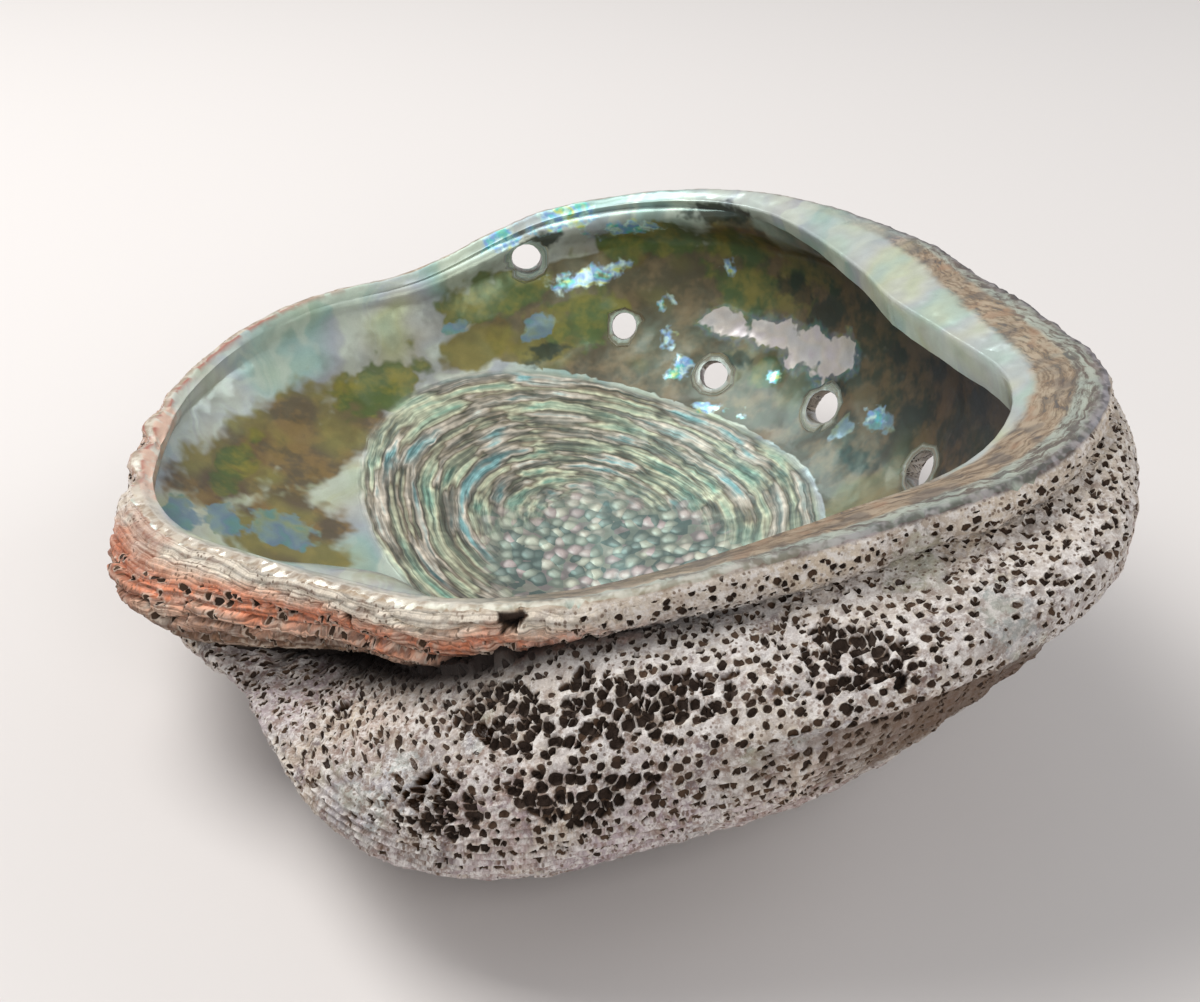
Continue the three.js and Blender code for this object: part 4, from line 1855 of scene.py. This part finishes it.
    def outside_relief(self, spots: Spots, fields: Values, noise: Values) -> np.ndarray:
        """Height of everything that stands out of or sinks into the crust.

        Args:
            spots: The skin's points.
            fields: Where each look is.
            noise: Values read at the points.

        Returns:
            Height for each point.
        """
        angle, depth = spots.angle, spots.depth
        thin = 1 - 0.55 * swell(angle, 165, 80)
        edge = 1 - ease(spots.stage, 2.8, 3.1)
        relief = self.relief
        height = noise["holes"] * thin
        layered = 1 + 0.8 * fields["lamellae"]
        height += relief.broad * noise["broad"] + relief.middle * noise["middle"] * layered
        level = (depth + 3.4 * noise["middle"] + 2.4 * noise["broad"]) / relief.layer_step
        layer, share = np.floor(level), level % 1.0
        proud = (0.4 + 0.9 * shuffled(layer)) * (ease(share, 0.0, 0.22) - ease(share, 0.6, 1.0))
        height += relief.layer_proud * proud * fields["lamellae"] * relief.layer_gain
        height += (relief.fine - 0.1 * fields["lamellae"]) * noise["fine"]
        growth = self.growth(spots)
        under = ease(depth, 10, 22)
        near = swell(angle, 262, 62)
        wave = np.sin(depth * relief.near_ridges + 4 * noise["middle"] + 3 * noise["broad"])
        height += ease(depth, 12, 19) * near * relief.near_ridge * wave
        under = under * (1 - near)
        height += under * relief.growth_ridge * np.sin(growth * relief.growth_ridges + 3 * noise["broad"])
        away = np.hypot(*(spots.rest[:, axis] - relief.apex[axis] for axis in (0, 1)))
        height += under * relief.whorl_ridge * np.sin(away * relief.whorl_ridges + 2.0 * noise["middle"])
        ledge = ease(depth + 1.5 * noise["middle"], 13.0, 14.0) * (1 - ease(depth, 20, 34))
        height -= relief.end_ledge * ledge * swell(angle, 312, 34)
        height -= relief.worn_dip * np.clip(2.5 * (fields["worn"] + 0.25 * noise["middle"]), 0, 1)
        spare = self.form.wall_sizes(angle).wall - relief.least_wall
        height = np.maximum(height, -relief.deepest_pit * spare)
        return height * edge + self.collars(spots)

    def inside_relief(self, spots: Spots, fields: Values, noise: Values) -> np.ndarray:
        """Height of everything that stands out of or sinks into the nacre.

        Args:
            spots: The skin's points.
            fields: Where each look is.
            noise: Values read at the points.

        Returns:
            Height for each point.
        """
        scarred = (1 - ease(fields["scar"], 0.93, 1.0)) * ease(spots.stage, 7.5, 8.2)
        relief = self.relief
        height = relief.nacre_broad * noise["broad"] + relief.nacre_middle * noise["middle"]
        height += relief.scar_grain * noise["fine"] * scarred
        height += relief.skin_lump * ease(fields["stain"], 0.0, 0.5) * noise["middle"]
        for name in ("olive", "umber"):
            height -= relief.skin_dip * ease(fields[name] + 0.3 * noise["middle"], 0.0, 0.2)
        dip = np.clip(self.collars(spots), 0, 1)
        return (height - relief.hole_dip * dip) * ease(spots.stage, 4.0, 5.5)

    def rim_relief(self, spots: Spots, noise: Values) -> np.ndarray:
        """Height of the unevenness of the rim, which both faces share.

        Args:
            spots: The skin's points.
            noise: Values read at the points.

        Returns:
            Height for each point.
        """
        at_rim = ease(spots.stage, 2.5, 3.2) * (1 - ease(spots.stage, 4.2, 5.2))
        rugged = 0.4 + 0.4 * swell(spots.angle, 330, 70) + 0.35 * swell(spots.angle, 225, 50)
        pleat = np.abs(sind(180 * (spots.angle - self.form.scallop_at) / self.form.scallop_step)) - 0.5
        scalloped = swell(spots.angle, self.form.scallop_at, self.form.scallop_spread)
        pleats = self.relief.pleat * pleat * scalloped
        around = ease(spots.stage, 2.2, 2.8) * (1 - ease(spots.stage, 4.6, 6.4))
        lumps = self.relief.rim_middle * noise["middle"] + self.relief.rim_fine * noise["fine"]
        return at_rim * rugged * lumps + around * pleats

    def cutters(self, shift: np.ndarray) -> bpy.types.Object:
        """The bars that cut the breathing holes, as one object.

        Args:
            shift: From the form's origin to the frame's.

        Returns:
            The object.
        """
        sides, points, faces = self.hole_sides, [], []
        turn = np.arange(sides) * 2 * math.pi / sides
        for hole in self.form.holes:
            middle = self.form.wall_point(hole.angle, hole.depth, Side.INSIDE)
            round_, _, out = self.form.wall_axes(hole.angle, hole.depth, Side.INSIDE)
            lean = out + np.array(self.hole_lean)
            lean /= np.linalg.norm(lean)
            first = round_ - lean * (round_ @ lean)
            first /= np.linalg.norm(first)
            second = np.cross(lean, first)
            wall = float(self.form.wall_sizes(np.array([hole.angle])).wall[0])
            start = len(points)
            wobble = 1 + 0.05 * np.sin(2 * turn + hole.angle) + 0.012 * np.sin(3 * turn + hole.depth)
            rings = (*self.hole_rings, (self.hole_length, self.form.hole_flare))
            for share, flare in rings:
                radius = hole.width / 2 * flare * wobble
                ring = middle + lean * wall * share
                ring = ring + np.outer(np.cos(turn) * radius, first) + np.outer(np.sin(turn) * radius, second)
                points.extend(ring)
            points.extend([middle + lean * wall * rings[0][0], middle + lean * wall * rings[-1][0]])
            for ring in range(len(rings) - 1):
                for i in range(sides):
                    j = (i + 1) % sides
                    a, b = start + ring * sides + i, start + ring * sides + j
                    faces += [(a, b, b + sides), (a, b + sides, a + sides)]
            last = start + (len(rings) - 1) * sides
            low, high = last + sides, last + sides + 1
            for i in range(sides):
                j = (i + 1) % sides
                faces += [(low, start + j, start + i), (high, last + i, last + j)]
        made = new_mesh("hole_bars", (np.array(points) + shift) * MM, np.array(faces))
        zeros = np.zeros(len(points))
        keep_value(made.data, "rest", np.array(points))
        keep_value(made.data, "stage", zeros + Part.FLOOR.value[0])
        spots = Spots(np.array(points), zeros, zeros + 0.4, zeros, self.form)
        rim = self.form.rim_height(spots.angle)
        keep_value(made.data, "sunk", np.clip((rim - spots.rest[:, 2]) / (rim + self.form.depth), 0, 1))
        keep_value(made.data, "run", zeros + 20.0)
        keep_value(made.data, "dip_dirt_and_shade", zeros)
        return made

    def build(self) -> bpy.types.Object:
        """Builds the shell, carved, pierced, thinned and dressed.

        Returns:
            The shell.
        """
        spots, ways, faces = self.skin()
        fields = self.markings.fields(spots)
        noise = self.sampled(spots, fields)
        inner = spots.inside
        outer_height = self.outside_relief(spots, fields, noise)
        inner_height = self.inside_relief(spots, fields, noise)
        height = np.where(inner, inner_height, outer_height) + self.rim_relief(spots, noise)
        points = spots.rest + ways * height[:, None]
        foot = -self.form.depth + self.form.foot_wear
        points[:, 2] = np.maximum(points[:, 2], foot)
        shift = self.shift(spots.rest)
        self.rim_middle = tuple(float(value) for value in shift * MM)
        shell = new_mesh("abalone_shell", (points + shift) * MM, faces)
        keep_value(shell.data, "rest", spots.rest)
        keep_value(shell.data, "stage", spots.stage)
        keep_value(shell.data, "sunk", spots.sunk)
        keep_value(shell.data, "run", spots.run)
        keep_value(shell.data, "dip_dirt_and_shade", self.dip_dirt_and_shade(outer_height, noise))
        bars = self.cutters(shift)
        cut = shell.modifiers.new("holes", "BOOLEAN")
        cut.operation, cut.solver, cut.object = "DIFFERENCE", "MANIFOLD", bars
        with_modifiers(shell)
        bpy.data.objects.remove(bars)
        log.info("skin of %d faces, cut by %d holes", len(shell.data.polygons), len(self.form.holes))
        shell.modifiers.new("corners", "TRIANGULATE")
        thin = shell.modifiers.new("thin", "DECIMATE")
        thin.ratio = min(1.0, self.most_triangles / len(faces))
        thin.use_collapse_triangulate = True
        with_modifiers(shell)
        self.dress(shell)
        return shell

    def shift(self, rest: np.ndarray) -> np.ndarray:
        """From the form's origin to the frame's, so that the form's box sits where the frame's is.

        Args:
            rest: The form's points.

        Returns:
            The move along x, y and z.
        """
        low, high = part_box("shell")
        middle = (np.array(low) + np.array(high)) / 2 / MM
        mine = (rest.min(0) + rest.max(0)) / 2
        return np.array([middle[0] - mine[0], middle[1] - mine[1], self.form.depth - self.form.foot_wear])

    def extra_fields(self, spots: Spots) -> Values:
        """Values that only the finishes read, at the thinned skin's points.

        Args:
            spots: The points.

        Returns:
            One array for each name.
        """
        angle, stage = spots.angle, spots.stage
        along, across, scar = self.form.scar_spot(spots.rest[:, 0], spots.rest[:, 1])
        around = np.arctan2(across / self.form.scar_half[1], along / self.form.scar_half[0])
        reach = self.form.even_reach(angle)
        share = spots.share(Part.SHELF)
        width = self.form.wall_sizes(angle).shelf
        arc = reach * np.radians(angle)
        slant = arc * 0.12 + share * width * 0.9
        lip_depth = spots.depth
        inner = stage >= Part.CREST.value[0]
        ridge_start, ridge_end = ease(angle, 192, 200), 1 - ease(angle, 256, 268)
        return {
            "growth": self.growth(spots),
            "scar_flow": np.stack([scar * 32, 1.9 * np.cos(around), 1.9 * np.sin(around)], -1),
            "scar_heart": 0.85 - np.hypot((along - 12) / 38, (across + 7) / 30),
            "scar_floor": ease(stage, 7.4, 8.0),
            "shelf_flow": np.stack([slant * 0.9, cosd(angle) * 12 + share, sind(angle) * 12], -1),
            "shelf_split": 1.15 - 0.82 * swell(angle, 30, 112),
            "shelf_line": 0.17 + 0.2 * swell(angle, 318, 60),
            "shelf_near": swell(angle, 276, 26),
            "shelf_rim": np.clip(2 * swell(angle, 345, 95), 0, 1),
            "rim_seam": 1 - np.abs(stage - Part.CREST.value[0] - 0.6) / 0.55,
            "lip_matt": (1 - ease(stage, 5.8, 7.2)) * np.clip(2 * swell(angle, 140, 85), 0, 1),
            "lip_margin": inner * (1 - lip_depth / 11.0) * np.clip(2 * swell(angle, 184, 19), 0, 1),
            "lip_red": inner * (1 - ease(stage, 4.0, 4.7)) * np.clip(1.5 * swell(angle, 165, 52), 0, 1),
            "lip_ridge": inner * (1 - ease(stage, 4.7, 5.4)) * ridge_start * ridge_end,
        }

    def dress(self, shell: bpy.types.Object) -> None:
        """Keeps the finishes' values on the shell, maps it, and gives each face its finish.

        Args:
            shell: The thinned shell.
        """
        mesh = shell.data
        spots = Spots(
            *(kept_value(mesh, name).astype(float) for name in ("rest", "stage", "sunk", "run")), self.form
        )
        for name, values in {**self.markings.fields(spots), **self.extra_fields(spots)}.items():
            keep_value(mesh, name, values)
        mesh.materials.clear()
        mesh.materials.append(CrustFinish("worn_crust", self.effects).build())
        mesh.materials.append(NacreFinish("nacre", self.effects).build())
        corners = np.zeros(len(mesh.loops), np.int32)
        mesh.loops.foreach_get("vertex_index", corners)
        stage = spots.stage[corners].reshape(-1, 3).max(1)
        inner = stage > Part.CREST.value[0] + 0.6
        mesh.polygons.foreach_set("material_index", inner.astype(np.int32))
        mesh.polygons.foreach_set("use_smooth", np.ones(len(inner), bool))
        mesh.set_sharp_from_angle(angle=math.radians(self.sharp_angle))
        self.map(mesh, spots, corners, np.repeat(inner, 3))
        mesh.update()
        log.info("shell dressed: %d triangles, %d points", len(mesh.polygons), len(mesh.vertices))

    def map(self, mesh: bpy.types.Mesh, spots: Spots, corners: np.ndarray, inner: np.ndarray) -> None:
        """Lays the outside and the inside out as two discs, so that each has its own even map.

        Args:
            mesh: The shell's mesh.
            spots: Its points.
            corners: The point at each corner of each face.
            inner: True at the corners of the nacre's faces.
        """
        stages = np.arange(len(self.outer_map))
        reaches = (np.interp(spots.stage[corners], stages, row) for row in (self.inner_map, self.outer_map))
        far = np.where(inner, *reaches)
        angle = spots.angle[corners]
        u = np.where(inner, 0.75, 0.25) + self.disc[0] * far * cosd(angle)
        v = 0.5 + self.disc[1] * far * sind(angle)
        layer = mesh.uv_layers.new(name="OFBake")
        layer.data.foreach_set("uv", np.stack([u, v], 1).astype(np.float32).ravel())


# ---------------------------------------------------------------- studio


@dataclass(frozen=True)
class Light:
    """A soft square light, aimed at the shell."""

    name: str
    place: tuple[float, float, float]
    side: float
    watts: float
    colour: tuple[float, float, float] = (1.0, 1.0, 1.0)


@dataclass(frozen=True)
class Studio:
    """Floor, lights and camera. Lengths are metres."""

    effects: SharedEffects
    floor_half: float = 8.0
    lens_angle: float = 38.0
    camera_rise: float = 30.0
    camera_distance: float = 0.2589
    rim_middle: Vector = Vector((0.0, 0.0, 0.0498))
    aim: tuple[float, float, float] = (0.00385, -0.05199, 0.0)
    lights: tuple[Light, ...] = (
        Light("key", (-0.45, 0.25, 0.75), 0.55, 8.0, (1.0, 0.985, 0.96)),
        Light("front", (0.25, -0.8, 0.55), 0.6, 3.6, (1.0, 0.97, 0.96)),
        Light("side", (0.8, 0.35, 0.5), 0.5, 2.2, (0.95, 0.98, 1.0)),
    )
    sky: tuple[float, float, float] = (0.93, 0.94, 0.96)
    sky_strength: float = 0.36

    def build(self) -> None:
        """Builds the floor, the lights, the sky and the camera."""
        half = self.floor_half
        points = np.array([(-half, -half, 0), (half, -half, 0), (half, half, 0), (-half, half, 0)])
        floor = new_mesh("floor", points, np.array([[0, 1, 2, 3]]))
        floor.data.materials.append(FloorFinish("pale_floor", self.effects).build())
        for light in self.lights:
            self.add_light(light)
        world = bpy.data.worlds.new("sky")
        world.use_nodes = True
        back = world.node_tree.nodes["Background"]
        back.inputs["Color"].default_value = (*self.sky, 1.0)
        back.inputs["Strength"].default_value = self.sky_strength
        bpy.context.scene.world = world
        self.add_camera()
        bpy.context.scene.view_settings.view_transform = "Standard"

    def add_light(self, light: Light) -> None:
        """Adds one light.

        Args:
            light: The light.
        """
        data = bpy.data.lights.new(light.name, "AREA")
        data.shape, data.size, data.energy, data.color = "SQUARE", light.side, light.watts, light.colour
        made = bpy.data.objects.new(light.name, data)
        made.location = light.place
        made.rotation_euler = (-Vector(light.place)).to_track_quat("-Z", "Y").to_euler()
        bpy.context.collection.objects.link(made)

    def add_camera(self) -> None:
        """Adds the camera, in front of the shell and above it."""
        data = bpy.data.cameras.new("camera")
        data.sensor_width = 36.0
        data.lens = data.sensor_width / 2 / math.tan(math.radians(self.lens_angle) / 2)
        data.clip_start, data.clip_end = 0.01, 20.0
        made = bpy.data.objects.new("camera", data)
        rise = math.radians(self.camera_rise)
        back = Vector((0.0, -math.cos(rise), math.sin(rise)))
        made.location = self.rim_middle + Vector(self.aim) + back * self.camera_distance
        made.rotation_euler = (math.pi / 2 - rise, 0.0, 0.0)
        bpy.context.collection.objects.link(made)
        bpy.context.scene.camera = made


def main() -> None:
    """Builds the shell and its studio."""
    logging.basicConfig(level=logging.INFO, format="%(message)s")
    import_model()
    effects = SharedEffects()
    effects.build()
    maker = AbaloneShell(ShellForm(), Markings(), effects)
    shell = maker.build()
    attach(shell, "root")
    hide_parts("shell")
    log.info("piece %s rides on root", shell.name)
    Studio(effects, rim_middle=Vector(maker.rim_middle)).build()


if __name__ == "__main__":
    main()
